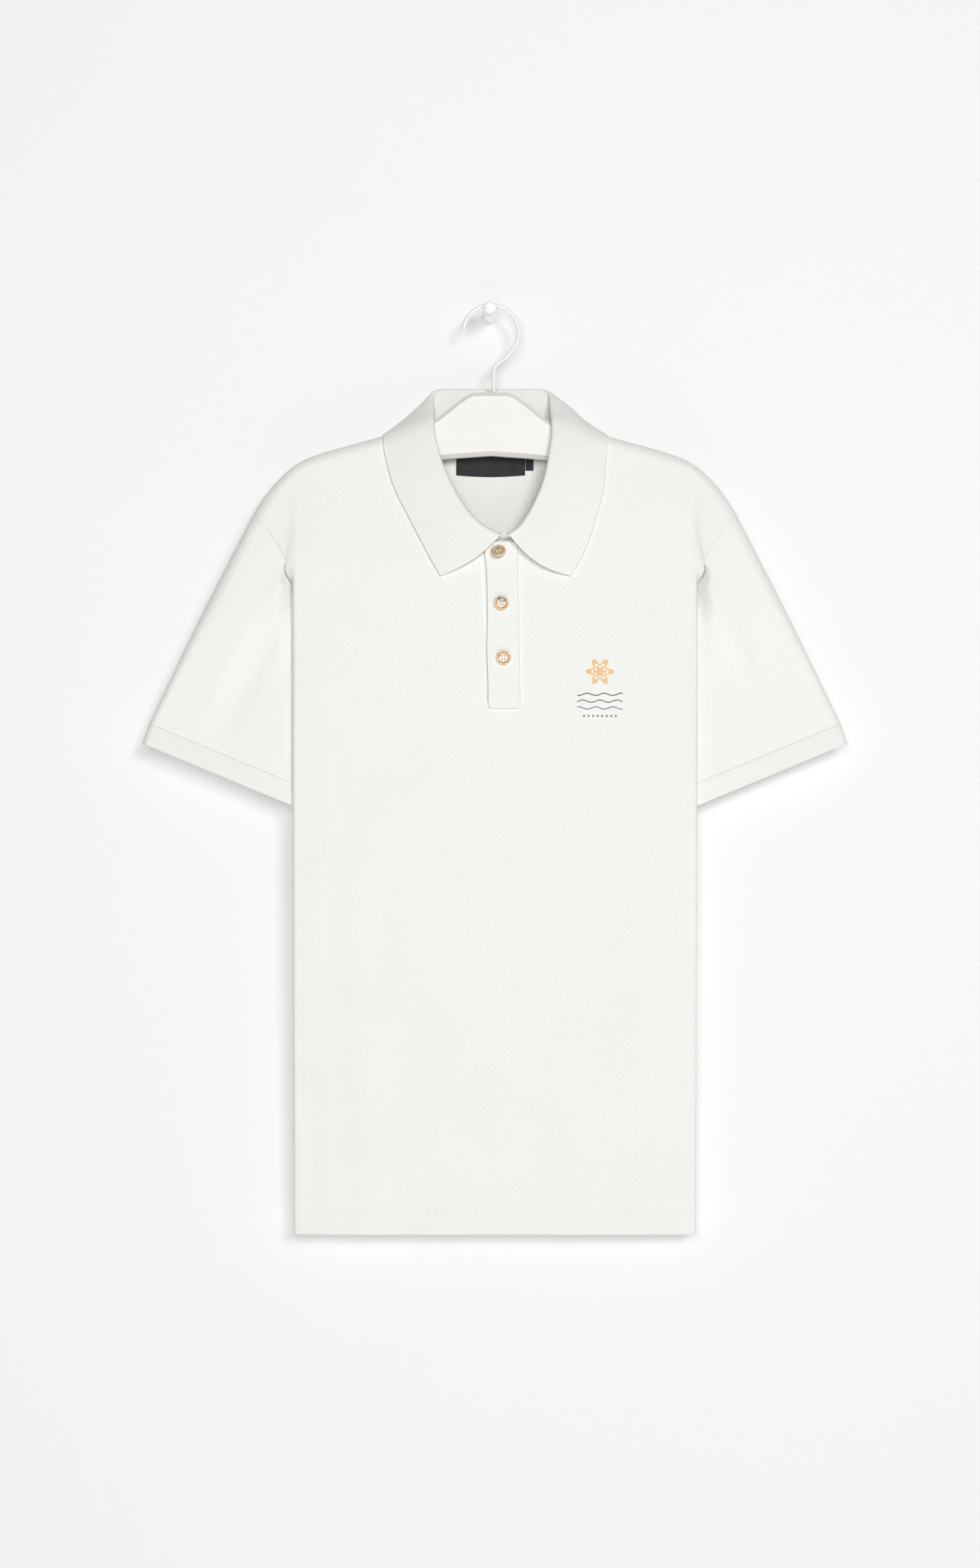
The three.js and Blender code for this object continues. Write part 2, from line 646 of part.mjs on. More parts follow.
// A flat button with a rim and four holes
function buttonShape() {
  const half = buttonThickness / 2;
  const profile = [
    [0, -half], [buttonRadius - 0.8, -half], [buttonRadius, -half + 0.8], [buttonRadius, half - 0.6],
    [buttonRadius - 0.6, half], [buttonRadius - 1.6, half],
    [buttonRadius - 2.3, half - 0.6], [0, half - 0.6],
  ].map(([x, y]) => new THREE.Vector2(x, y));
  let solid = toSolid(new THREE.LatheGeometry(profile, 18));
  for (let i = 0; i < 4; i++) {
    const angle = (i + 0.5) * Math.PI / 2;
    const hole = new THREE.CylinderGeometry(buttonHole.radius, buttonHole.radius, buttonThickness * 2, 6);
    hole.translate(buttonHole.place * Math.cos(angle), 0, buttonHole.place * Math.sin(angle));
    solid = solid.subtract(toSolid(hole));
  }
  return fromSolid(solid);
}

function shirtButtons() {
  const out = clothThickness / 2 + seamGap + placketThickness + seamGap + buttonThickness / 2 + 0.05;
  return buttons.map(({ name, x, z, tilt, lift }) => {
    const mesh = named(name, buttonShape(), 'button');
    const place = onPanel(frontRows, x, z);
    mesh.position.set(place.x, place.y - out - lift, place.z);
    mesh.rotation.x = Math.PI - THREE.MathUtils.degToRad(tilt);
    return mesh;
  });
}

// Labels lie on the inside of the back panel
function labelOnBack({ left, right, top, bottom, sag }, offset) {
  const rows = [0, 0.5, 1].map((run) => [0, 0.25, 0.5, 0.75, 1].map((across) => {
    const x = lerp(left, right, across);
    const z = lerp(top, bottom, run) - sag * run * Math.sin(Math.PI * across);
    const point = onPanel(backRows, x, z);
    point.y -= offset;
    return point;
  }));
  return clothWall(rows, { outer: labelThickness / 2 });
}

function labels() {
  const offset = clothThickness / 2 + seamGap + labelThickness / 2;
  return [
    named('neck_label', labelOnBack(neckLabel, offset), 'label'),
    named('size_tab', labelOnBack(sizeTab, offset), 'label'),
  ];
}

function hangerBar() {
  const shape = new THREE.Shape();
  const inset = hangerBevel;
  const half = [...hangerTop];
  for (const degrees of [60, 30, 0, -30, -60, -95]) {
    const angle = THREE.MathUtils.degToRad(degrees);
    half.push({
      x: hangerEnd.x + hangerEnd.radius * Math.cos(angle),
      z: hangerEnd.z + hangerEnd.radius * Math.sin(angle),
    });
  }
  half.push(...hangerBottom);
  const mirrored = [...half].reverse().slice(1).map(({ x, z }) => ({ x: -x, z }));
  [...half, ...mirrored].forEach(({ x, z }, i) => (i ? shape.lineTo(x, z) : shape.moveTo(x, z)));
  const geometry = new THREE.ExtrudeGeometry(shape, {
    depth: hangerThickness - 2 * inset,
    bevelEnabled: true,
    bevelThickness: inset,
    bevelSize: inset,
    bevelOffset: -inset,
    bevelSegments: 2,
  });
  geometry.rotateX(Math.PI / 2);
  const mesh = named('hanger_bar', fromSolid(toSolid(geometry)), 'wood');
  mesh.position.set(0, crestY + hangerThickness / 2 - inset, 0);
  return mesh;
}

// The wire hook: most of a circle over the peg's neck, then down to the hanger
function hangerHook() {
  const top = pegNeckRadius + wireRadius + seamGap;
  const centre = new THREE.Vector2(0.9, top - hookRadius);
  const points = [];
  for (let degrees = 178; degrees >= -38; degrees -= 12) {
    const angle = THREE.MathUtils.degToRad(degrees);
    const x = centre.x + hookRadius * Math.cos(angle);
    points.push(new THREE.Vector3(x, hookY, centre.y + hookRadius * Math.sin(angle)));
  }
  for (const { x, z } of hookTail) points.push(new THREE.Vector3(x, hookY, z));
  points.push(new THREE.Vector3(shankX, hookY, hangerTopHeight + seamGap));
  const wire = new THREE.Shape().absarc(0, 0, wireRadius, 0, 2 * Math.PI, false);
  const path = new THREE.CatmullRomCurve3(points, false, 'centripetal');
  const geometry = new THREE.ExtrudeGeometry(wire, {
    steps: 40, curveSegments: 4, bevelEnabled: false, extrudePath: path,
  });
  return named('hanger_hook', fromSolid(toSolid(geometry)), 'wire');
}

function wallPeg() {
  const profile = pegProfile.map(([x, y]) => new THREE.Vector2(x, y));
  const geometry = fromSolid(toSolid(new THREE.LatheGeometry(profile, 20)));
  geometry.rotateX(Math.PI);
  return named('wall_peg', geometry, 'peg');
}

const shirt = new THREE.Group();
shirt.add(named('body_front', bodyFront(), 'cloth'));
shirt.add(named('body_back', bodyBack(), 'cloth'));
shirt.add(...sleeves());
shirt.add(named('collar', collar(), 'rib'));
shirt.add(...plackets());
shirt.add(neckTapeEnd());
shirt.add(...shirtButtons());
shirt.add(...labels());
shirt.position.x = shirtCentreX;

const hanger = new THREE.Group();
const bar = hangerBar();
bar.position.x = shirtCentreX + hangerX;
hanger.add(bar, hangerHook());

const polo = new THREE.Group();
polo.add(shirt, hanger, wallPeg());
export default polo;
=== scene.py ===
from math import acos, atan2, copysign, cos, dist, exp, hypot, pi, radians, sin, sqrt

import bmesh
import bpy
from mathutils import Matrix, Vector, noise


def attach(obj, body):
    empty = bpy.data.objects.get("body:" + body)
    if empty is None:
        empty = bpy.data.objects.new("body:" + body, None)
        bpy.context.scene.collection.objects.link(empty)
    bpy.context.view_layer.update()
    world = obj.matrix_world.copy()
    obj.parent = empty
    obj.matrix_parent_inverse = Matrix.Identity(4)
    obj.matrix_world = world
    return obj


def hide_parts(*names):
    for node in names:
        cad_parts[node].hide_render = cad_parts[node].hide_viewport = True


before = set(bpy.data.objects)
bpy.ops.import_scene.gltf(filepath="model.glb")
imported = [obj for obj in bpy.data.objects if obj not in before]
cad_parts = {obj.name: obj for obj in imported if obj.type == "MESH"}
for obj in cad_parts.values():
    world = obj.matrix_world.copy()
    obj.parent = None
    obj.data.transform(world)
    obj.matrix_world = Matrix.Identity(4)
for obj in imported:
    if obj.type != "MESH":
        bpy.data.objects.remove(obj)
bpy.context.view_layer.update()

# Lengths below are in millimetres, as in the part's source, and become metres where a mesh is made
mm = 0.001
shirtCentreX = 4.3
hemHeight, hemDepth = -819.6, 22
shoulderEndX = 213.7
foldX, foldRadius = 178, 3
foldEdge = foldX - foldRadius
foldStart, foldFull = -222, -262
crestY, crestDrop = -30, 10
seamGap, sideSeamGap = 0.3, 0.8
clothThickness, ribThickness, placketThickness = 1.2, 1.2, 1.4
sideSeamX, valleyReach = 97, 6
turnClearance = 1.9
underarmHeight = -362
neckHalfWidth, neckHeight = 82, -107
frontNeckDrop, backNeckDrop, neckLimit = 96, 7, -210
collarShift = 9.5


def lerp(a, b, t):
    return a + (b - a) * t


def clamp(value, low=0.0, high=1.0):
    return max(low, min(high, value))


def smoothstep(value, start, end):
    t = clamp((value - start) / (end - start))
    return t * t * (3 - 2 * t)


# A smooth curve through a table of rows, whose first column rises or falls
def lookUp(table, at, column=1):
    rows = table if table[1][0] > table[0][0] else table[::-1]
    if at <= rows[0][0]:
        return rows[0][column]
    if at >= rows[-1][0]:
        return rows[-1][column]
    i = next(k for k, row in enumerate(rows) if row[0] > at) - 1

    def slope(a, b):
        return (rows[b][column] - rows[a][column]) / (rows[b][0] - rows[a][0])

    step = rows[i + 1][0] - rows[i][0]
    here, there = slope(max(i - 1, 0), i + 1), slope(i, min(i + 2, len(rows) - 1))
    t = (at - rows[i][0]) / step
    rise = rows[i + 1][column] - rows[i][column]
    curve = (t - 1) * (t - 1) * t * here * step + t * t * (t - 1) * there * step
    return rows[i][column] + rise * t * t * (3 - 2 * t) + curve


# Even steps between the given places, about a step apart
def stepsBetween(places, step):
    out = [places[0]]
    for a, b in zip(places, places[1:]):
        count = max(1, round(abs(b - a) / step))
        out += [lerp(a, b, (k + 1) / count) for k in range(count)]
    return out


# Even steps with two narrow ones at each end, which keep a cut edge crisp
def edgedSteps(start, end, narrow, wide, step):
    return [start, start + narrow] + stepsBetween([start + wide, end - wide], step) + [end - narrow, end]


def newMaterial(name, color, roughness):
    material = bpy.data.materials.new(name)
    material.use_nodes = True
    shader = material.node_tree.nodes["Principled BSDF"]
    shader.inputs["Base Color"].default_value = (*color, 1)
    shader.inputs["Roughness"].default_value = roughness
    return material, material.node_tree, shader


def node(tree, kind, inputs=None, **settings):
    made = tree.nodes.new("ShaderNode" + kind)
    for key, value in settings.items():
        setattr(made, key, value)
    for key, value in (inputs or {}).items():
        socket = made.inputs[key]
        if isinstance(value, bpy.types.NodeSocket):
            tree.links.new(value, socket)
        else:
            socket.default_value = value
    return made


# Gives the maker of one tree's Math nodes
def mathIn(tree):
    def calc(operation, *values):
        return node(tree, "Math", dict(enumerate(values)), operation=operation).outputs[0]

    return calc


def noiseAt(tree, place, scale, detail, distortion=0.0):
    return node(tree, "TexNoise", {"Vector": place, "Scale": scale, "Detail": detail,
                                   "Distortion": distortion}).outputs[0]


def ramp(tree, factor, stops):
    made = node(tree, "ValToRGB", {0: factor})
    elements = made.color_ramp.elements
    while len(elements) < len(stops):
        elements.new(0.5)
    for element, (place, color) in zip(elements, stops):
        element.position = place
        element.color = (*color, 1)
    return made.outputs[0]


def setColor(tree, shader, color):
    tree.links.new(color, shader.inputs["Base Color"])


# The color, a little darker where the factor is low
def setMottled(tree, shader, factor, color, shade, full=0.7):
    low = tuple(c * shade for c in color)
    setColor(tree, shader, ramp(tree, factor, [(0.3, low), (full, color)]))


def setBump(tree, shader, height, distance, strength=1.0):
    bump = node(tree, "Bump", {"Height": height, "Distance": distance, "Strength": strength})
    tree.links.new(bump.outputs[0], shader.inputs["Normal"])


def objectPlace(tree):
    return node(tree, "TexCoord").outputs["Object"]


def flatCoordinates(tree):
    uv = node(tree, "UVMap", uv_map="flat").outputs[0]
    split = node(tree, "SeparateXYZ", {0: uv})
    return uv, split.outputs[0], split.outputs[1]


# cellHollowShade: how much darker the knit's cell hollows are painted, which is painted shade
knit = dict(sheenRoughness=0.5, gloss=0.2, bump=0.6, yarnScale=900.0, cloudScale=14.0, cellHollowShade=0.08)


# Knitted cloth: a small cell pattern in the cloth's own flat coordinates, with slight unevenness in the
# yarn; its colour has random clouds and is a little darker in the cells' hollows, which is painted shade
def knitMaterial(name, s):
    material, tree, shader = newMaterial(name, s["color"], s["roughness"])
    calc = mathIn(tree)
    shader.inputs["Sheen Weight"].default_value = s["sheen"]
    shader.inputs["Sheen Roughness"].default_value = knit["sheenRoughness"]
    shader.inputs["Specular IOR Level"].default_value = knit["gloss"]
    uv, across, down = flatCoordinates(tree)

    def wave(value, length):
        return calc("SINE", calc("MULTIPLY", value, 2 * pi / (length * mm)))

    cells = wave(across, s["cellWidth"])
    if s["cellHeight"]:
        cells = calc("MULTIPLY", cells, wave(down, s["cellHeight"]))
    yarn = noiseAt(tree, uv, knit["yarnScale"], 2.0)
    height = calc("ADD", cells, calc("MULTIPLY", yarn, s["yarn"]))
    setBump(tree, shader, height, s["depth"] * mm, knit["bump"])
    clouds = noiseAt(tree, uv, knit["cloudScale"], 3.0)
    # The cells' hollows are a little darker: painted shade, added to random clouds
    cloudsAndHollowShade = calc("ADD", clouds, calc("MULTIPLY", cells, knit["cellHollowShade"]))
    setMottled(tree, shader, cloudsAndHollowShade, s["color"], s["shade"], 0.75)
    return material


pique = dict(color=(0.922, 0.930, 0.888), roughness=0.92, sheen=0.12, cellWidth=1.5, cellHeight=1.2,
             yarn=0.6, depth=0.11, shade=0.98)
rib = dict(color=(0.888, 0.896, 0.858), roughness=0.9, sheen=0.12, cellWidth=1.3, cellHeight=0,
           yarn=0.5, depth=0.05, shade=0.98)
tape = dict(color=(0.90, 0.905, 0.87), roughness=0.9, sheen=0.1, cellWidth=0.8, cellHeight=0.8,
            yarn=0.4, depth=0.08, shade=0.97)
clothMaterial = knitMaterial("polo_pique", pique)

# A plain print on the chest: a six-petalled flower over three waves and a row of dots
chestPrint = dict(x=96.8, z=-336, front=-0.03, cover=0.85, amber=(0.92, 0.52, 0.20), dark=(0.07, 0.10, 0.09),
                  petals=6.0, flowerUp=15, flowerRadius=9.5, petal=3.0, ring=0.9, ringPlace=0.55,
                  line=0.55, waveTurn=0.42, halfWidth=20,
                  dotsHalfWidth=16, dotsUp=-24, dotStep=8.0, dot=0.95,
                  waves=[(-5, 0.0, (0.07, 0.10, 0.09)), (-11, 1.6, (0.10, 0.15, 0.14)),
                         (-17, 3.1, (0.20, 0.21, 0.33))])


def addPrint(material, s):
    tree = material.node_tree
    calc = mathIn(tree)
    shader = tree.nodes["Principled BSDF"]
    split = node(tree, "SeparateXYZ", {0: objectPlace(tree)})
    across = calc("SUBTRACT", calc("DIVIDE", split.outputs[0], mm), s["x"])
    up = calc("SUBTRACT", calc("DIVIDE", split.outputs[2], mm), s["z"])

    def below(value, limit):
        return calc("LESS_THAN", value, limit)

    def within(value, limit):
        return below(calc("ABSOLUTE", value), limit)

    def both(one, other):
        return calc("MULTIPLY", one, other)

    def reachOf(x, z):
        return calc("SQRT", calc("ADD", both(x, x), both(z, z)))

    flowerUp = calc("SUBTRACT", up, s["flowerUp"])
    distance = reachOf(across, flowerUp)
    petals = calc("COSINE", both(calc("ARCTAN2", flowerUp, across), s["petals"]))
    reach = calc("ADD", both(petals, s["petal"]), s["flowerRadius"])
    outline = calc("ABSOLUTE", calc("SUBTRACT", distance, both(reach, s["ringPlace"])))
    flower = both(below(calc("SUBTRACT", distance, reach), 0.0), calc("GREATER_THAN", outline, s["ring"]))
    marks = [(flower, s["amber"])]
    for place, phase, color in s["waves"]:
        wave = calc("SINE", calc("ADD", both(across, s["waveTurn"]), phase))
        away = calc("SUBTRACT", calc("SUBTRACT", up, place), wave)
        marks.append((both(within(away, s["line"]), within(across, s["halfWidth"])), color))
    dotAcross = calc("SUBTRACT", calc("PINGPONG", across, s["dotStep"] / 2), s["dotStep"] / 4)
    dotAway = reachOf(dotAcross, calc("SUBTRACT", up, s["dotsUp"]))
    marks.append((both(below(dotAway, s["dot"]), within(across, s["dotsHalfWidth"])), s["dark"]))
    outside = below(split.outputs[1], s["front"])
    color = shader.inputs["Base Color"].links[0].from_socket
    for mask, ink in marks:
        share = both(both(mask, outside), s["cover"])
        color = node(tree, "MixRGB", {0: share, 1: color, 2: (*ink, 1)}).outputs[0]
    setColor(tree, shader, color)
    return material


printedMaterial = addPrint(knitMaterial("polo_pique_printed", pique), chestPrint)
ribMaterial = knitMaterial("polo_rib", rib)
tapeMaterial = knitMaterial("polo_tape", tape)


def threadMaterialOf(name, color):
    material, tree, shader = newMaterial(name, color, 0.75)
    twist = noiseAt(tree, objectPlace(tree), 2200.0, 1.0)
    setBump(tree, shader, twist, 0.0001)
    setMottled(tree, shader, twist, color, 0.93)
    return material


threadMaterial = threadMaterialOf("sewing_thread", (0.92, 0.925, 0.90))


def labelMaterialOf(name, color, paler, threadWidth):
    material, tree, shader = newMaterial(name, color, 0.62)
    calc = mathIn(tree)
    uv, across, down = flatCoordinates(tree)
    setBump(tree, shader, calc("SINE", calc("MULTIPLY", down, 2 * pi / threadWidth)), 0.00004)
    setColor(tree, shader, ramp(tree, noiseAt(tree, uv, 160.0, 3.0), [(0.3, color), (0.7, paler)]))
    return material


labelMaterial = labelMaterialOf("label_satin", (0.009, 0.010, 0.013), (0.020, 0.021, 0.025), 0.0005)

# Turned shell: brown with greenish and orange clouds, and a paler rim
shell = dict(roughness=0.2, coat=0.4, coatRoughness=0.15, cloudScale=170.0, rim=(0.80, 0.68, 0.47),
             rimStart=0.0052, rimEnd=0.0058, rimShare=0.55,
             stops=[(0.32, (0.10, 0.06, 0.03)), (0.41, (0.42, 0.36, 0.20)), (0.47, (0.62, 0.60, 0.38)),
                    (0.53, (0.80, 0.40, 0.16)), (0.60, (0.55, 0.24, 0.09)), (0.70, (0.85, 0.70, 0.48))])


def shellMaterialOf(s):
    material, tree, shader = newMaterial("shell_button", (0.2, 0.12, 0.05), s["roughness"])
    calc = mathIn(tree)
    shader.inputs["Coat Weight"].default_value = s["coat"]
    shader.inputs["Coat Roughness"].default_value = s["coatRoughness"]
    clouds = noiseAt(tree, objectPlace(tree), s["cloudScale"], 4.0, 1.0)
    outward = flatCoordinates(tree)[1]
    onRim = calc("MULTIPLY", node(tree, "MapRange", {
        "Value": outward, "From Min": s["rimStart"], "From Max": s["rimEnd"]}).outputs[0], s["rimShare"])
    setColor(tree, shader, node(tree, "MixRGB", {
        0: onRim, 1: ramp(tree, clouds, s["stops"]), 2: (*s["rim"], 1)}).outputs[0])
    setBump(tree, shader, clouds, 0.00008)
    return material


shellMaterial = shellMaterialOf(shell)


# Paint over wood or wire, with a little unevenness in its sheen
def paintMaterialOf(name, s):
    material, tree, shader = newMaterial(name, s["color"], s["roughness"])
    long = node(tree, "Mapping", {"Vector": objectPlace(tree), "Scale": s["stretch"]}).outputs[0]
    grain = noiseAt(tree, long, s["scale"], 4.0)
    rough = node(tree, "MapRange", {"Value": grain, "To Min": s["roughness"] * 0.85,
                                    "To Max": s["roughness"] * 1.2}).outputs[0]
    tree.links.new(rough, shader.inputs["Roughness"])
    setMottled(tree, shader, grain, s["color"], s["shade"])
    setBump(tree, shader, grain, s["depth"] * mm)
    return material


woodMaterial = paintMaterialOf("painted_wood", dict(
    color=(0.850, 0.832, 0.804), roughness=0.42, stretch=(0.08, 1, 1), scale=260.0, shade=0.975, depth=0.12))
wireMaterial = paintMaterialOf("painted_wire", dict(
    color=(0.93, 0.925, 0.90), roughness=0.5, stretch=(1, 1, 1), scale=500.0, shade=0.97, depth=0.05))

# The lines are painted shade, placed by the distance from the wall: at the peg's foot against the wall, in
# its neck, and a thin one round the head's rounded edge
# glow: painted light, a faint glow of the peg in its own colour
marble = dict(roughness=0.4, cloudScale=150.0, glow=0.25, length=0.048,
              stops=[(0.0, (0.70, 0.69, 0.68)), (0.05, (0.82, 0.81, 0.80)), (0.15, (0.92, 0.91, 0.90))],
              lines=[(0.0, (0.55, 0.55, 0.55)), (0.04, (1, 1, 1)), (0.50, (1, 1, 1)),
                     (0.62, (0.62, 0.61, 0.60)), (0.75, (0.55, 0.54, 0.53)), (0.80, (0.95, 0.95, 0.95)),
                     (0.905, (1, 1, 1)), (0.935, (0.60, 0.59, 0.58)), (0.96, (0.95, 0.95, 0.95))])


def marbleMaterialOf(s):
    material, tree, shader = newMaterial("marbled_peg", (0.85, 0.85, 0.84), s["roughness"])
    calc = mathIn(tree)
    clouds = noiseAt(tree, objectPlace(tree), s["cloudScale"], 3.0, 1.5)
    veins = calc("ABSOLUTE", calc("SUBTRACT", clouds, 0.5))
    # Painted shade in rings: darker at the foot, in the neck and round the head's edge
    lines = ramp(tree, calc("DIVIDE", flatCoordinates(tree)[2], s["length"]), s["lines"])
    veinsWithPaintedShade = node(tree, "MixRGB", {0: 1.0, 1: ramp(tree, veins, s["stops"]), 2: lines}, blend_type="MULTIPLY")
    setColor(tree, shader, veinsWithPaintedShade.outputs[0])
    # Painted light: the peg glows a little in its own colour, which lifts its shaded side though it is no
    # lamp
    tree.links.new(veinsWithPaintedShade.outputs[0], shader.inputs["Emission Color"])
    shader.inputs["Emission Strength"].default_value = s["glow"]
    setBump(tree, shader, veins, 0.00005)
    return material


marbleMaterial = marbleMaterialOf(marble)
print("materials made")


def meshFrom(name, bm):
    mesh = bpy.data.meshes.new(name)
    bm.to_mesh(mesh)
    bm.free()
    return mesh


def addObject(name, data):
    made = bpy.data.objects.new(name, data)
    bpy.context.scene.collection.objects.link(made)
    return made


def finished(name, bm, material, slot, replaced=()):
    mesh = meshFrom(name, bm)
    mesh.materials.append(material)
    for polygon in mesh.polygons:
        polygon.use_smooth = True
    piece = addObject(name, mesh)
    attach(piece, "root")
    if replaced:
        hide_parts(*replaced)
    return piece


def inMetres(x, y, z, centre=shirtCentreX):
    return Vector(((x + centre) * mm, y * mm, z * mm))


# A grid moved onto points[row][column]; flats gives each point's place on the flat cloth
def gridMesh(points, flats, closed=False, centre=shirtCentreX):
    rows, columns = len(points) - 1, len(points[0]) - 1
    bm = bmesh.new()
    bmesh.ops.create_grid(bm, x_segments=columns, y_segments=rows, size=0.5)
    layer = bm.loops.layers.uv.new("flat")
    where = {v: (round((0.5 - v.co.y) * rows), round((v.co.x + 0.5) * columns)) for v in bm.verts}
    for v, (row, column) in where.items():
        v.co = inMetres(*points[row][column], centre)
    for face in bm.faces:
        for loop in face.loops:
            row, column = where[loop.vert]
            u, w = flats[row][column]
            loop[layer].uv = (u * mm, w * mm)
    if closed:
        bmesh.ops.remove_doubles(bm, verts=bm.verts, dist=1e-6)
    bmesh.ops.recalc_face_normals(bm, faces=bm.faces)
    return bm, where


def thicken(piece, thickness):
    solid = piece.modifiers.new("thickness", "SOLIDIFY")
    solid.thickness = thickness * mm
    solid.offset = 0
    # The wide faces decide the shading, so the cut edges stay crisp
    shading = piece.modifiers.new("shading", "WEIGHTED_NORMAL")
    shading.weight = 100


# A piece of cloth over a grid of points
def clothPiece(name, points, flats, material, slot, nodeName, thickness, closed=False):
    piece = finished(name, gridMesh(points, flats, closed)[0], material, slot, [nodeName])
    thicken(piece, thickness)
    return piece


# How far each point of a line lies along it
def alongLine(points):
    out = [0.0]
    for a, b in zip(points, points[1:]):
        out.append(out[-1] + (b - a).length)
    return out


# Depth of each panel by height: how far its middle stands from the wall
frontDepth = [(-84, -40), (-130, -41.5), (-180, -44.5), (-240, -46.5), (-400, -45.5), (-600, -40.5),
              (-820, -33)]
backDepth = [(-84, -14.5), (-115, -15), (-160, -14), (-240, -11.5), (-400, -11), (-600, -12), (-820, -13)]
sideTuck = 81
# How much cloth lies past the side fold, by height
tuckLength = [(-181, 38.7), (-200, 22.5), (-223, 10.5), (-240, 12.5), (-280, 21.4), (-320, 38.4), (-345, 58),
              (underarmHeight, sideTuck), (hemHeight, sideTuck)]
shoulderLine = [(0, -95.1), (40, -95.1), (70, -103.6), (97, -111.3), (128, -119.8), (155, -127.6),
                (174.5, -136), (190, -149), (203.5, -165), (shoulderEndX, -181)]
# Long soft folds: x, lean, width, height, top
frontFolds = [(-128, 18, 16, 1.6, -420), (142, -20, 15, 1.4, -300), (-52, 10, 22, 1.1, -560),
              (70, 6, 24, 1.1, -600)]
backFolds = [(-110, 12, 18, -1.4, -330), (20, -8, 26, -1.5, -450), (124, -10, 18, -1.3, -380)]
# Smaller creases: from x z, to x z, width, height out of the cloth
frontCreases = [
    (-168, -262, -96, -300, 7, 0.9), (-172, -285, -120, -352, 9, -0.8), (166, -258, 104, -296, 7, 0.8),
    (172, -290, 128, -370, 9, -0.8), (86, -318, 74, -452, 10, 0.7), (96, -330, 88, -470, 9, -0.6),
    (-60, -236, -34, -300, 12, 0.5), (44, -232, 36, -330, 10, 0.5), (-150, -430, -162, -600, 9, 0.9),
    (150, -470, 160, -640, 9, 0.8), (-20, -500, -8, -690, 16, 0.5), (110, -560, 104, -770, 14, 0.6),
    (-96, -610, -104, -800, 13, 0.7), (-166, -650, -158, -815, 8, -0.6), (30, -620, 40, -815, 15, -0.5),
]
backCreases = [
    (-165, -270, -90, -312, 9, 0.9), (168, -262, 96, -318, 9, 0.9), (-60, -180, -30, -330, 15, 0.7),
    (58, -176, 34, -340, 15, 0.7), (-140, -440, -152, -640, 10, 0.9), (148, -420, 156, -600, 10, 0.8),
    (-30, -480, -44, -720, 16, 0.7), (80, -520, 92, -780, 15, 0.7), (-100, -600, -92, -810, 13, 0.6),
]
front = dict(depth=frontDepth, folds=frontFolds, creases=frontCreases, toWall=-1)
back = dict(depth=backDepth, folds=backFolds, creases=backCreases, toWall=1)
panelShape = dict(turnIn=1.2, turnPower=6, uneven=0.35, unevenWidth=46, unevenHeight=88,
                  grooveDepth=0.45, grooveWidth=1.3, neckBand=6.5, flatHeight=720, seamFrom=0.875)


def shoulderHeight(x):
    return lookUp(shoulderLine, abs(x))


def collarShiftAt(z):
    return collarShift * smoothstep(-z, 110, 225)


def foldsAt(folds, x, z):
    height = 0
    for foldPlace, lean, width, tall, top in folds:
        run = clamp((top - z) / (top - hemHeight))
        offset = (x - foldPlace - lean * run) / width
        height += tall * smoothstep(run, 0, 0.5) * exp(-offset * offset)
    return height


# A crease fades over its ends, a little beyond them, and three widths to its sides
creaseStart, creaseEnd, creaseReach = (-0.2, 0.35), (0.65, 1.2), 3


def creasesAt(creases, x, z):
    height = 0
    for x0, z0, x1, z1, width, tall in creases:
        dx, dz = x1 - x0, z1 - z0
        size = dx * dx + dz * dz
        t = ((x - x0) * dx + (z - z0) * dz) / size
        if creaseStart[0] < t < creaseEnd[1]:
            away = ((x - x0) * dz - (z - z0) * dx) / sqrt(size) / width
            if abs(away) < creaseReach:
                ends = smoothstep(t, *creaseStart) * (1 - smoothstep(t, *creaseEnd))
                height += tall * ends * exp(-away * away)
    return height


def panelDepth(side, x, z, fine=True):
    base = lookUp(side["depth"], z)
    s = panelShape
    turnIn = s["turnIn"] * (min(abs(x), foldX) / foldX) ** s["turnPower"]
    height = foldsAt(side["folds"], x, z) - turnIn
    if fine:
        height += creasesAt(side["creases"], x, z)
        place = (x / s["unevenWidth"], z / s["unevenHeight"], 3.0 + side["toWall"])
        height += s["uneven"] * noise.noise(place)
    return base + side["toWall"] * height


# A run is how far down a row lies, from the shoulder at 0 to the hem at 1
edgeTop = shoulderHeight(shoulderEndX) - crestDrop
middleTop = shoulderHeight(0) - crestDrop
panelHeight = middleTop - hemHeight
armholeRun = (edgeTop - underarmHeight) / (edgeTop - hemHeight)
slotLeft, slotRight, slotBottom = -11.5, 19.5, -347
slotRun = (middleTop - slotBottom) / panelHeight
hemRun = 1 - hemDepth / panelHeight
gridStep = 4.0
crestSteps, armholeSteps = 8, 43
tuckShares = dict(arc=8, straight=12, valley=6)
tuckSteps = sum(tuckShares.values())


def tuckColumns(length):
    arc = min(pi * foldRadius, length * 0.5)
    valley = max(length - valleyReach * 1.5, (arc + length) / 2)
    a, b, c = tuckShares["arc"], tuckShares["straight"], tuckShares["valley"]
    return ([arc * (k + 1) / a for k in range(a)] + [lerp(arc, valley, (k + 1) / b) for k in range(b)]
            + [lerp(valley, length, (k + 1) / c) for k in range(c)])


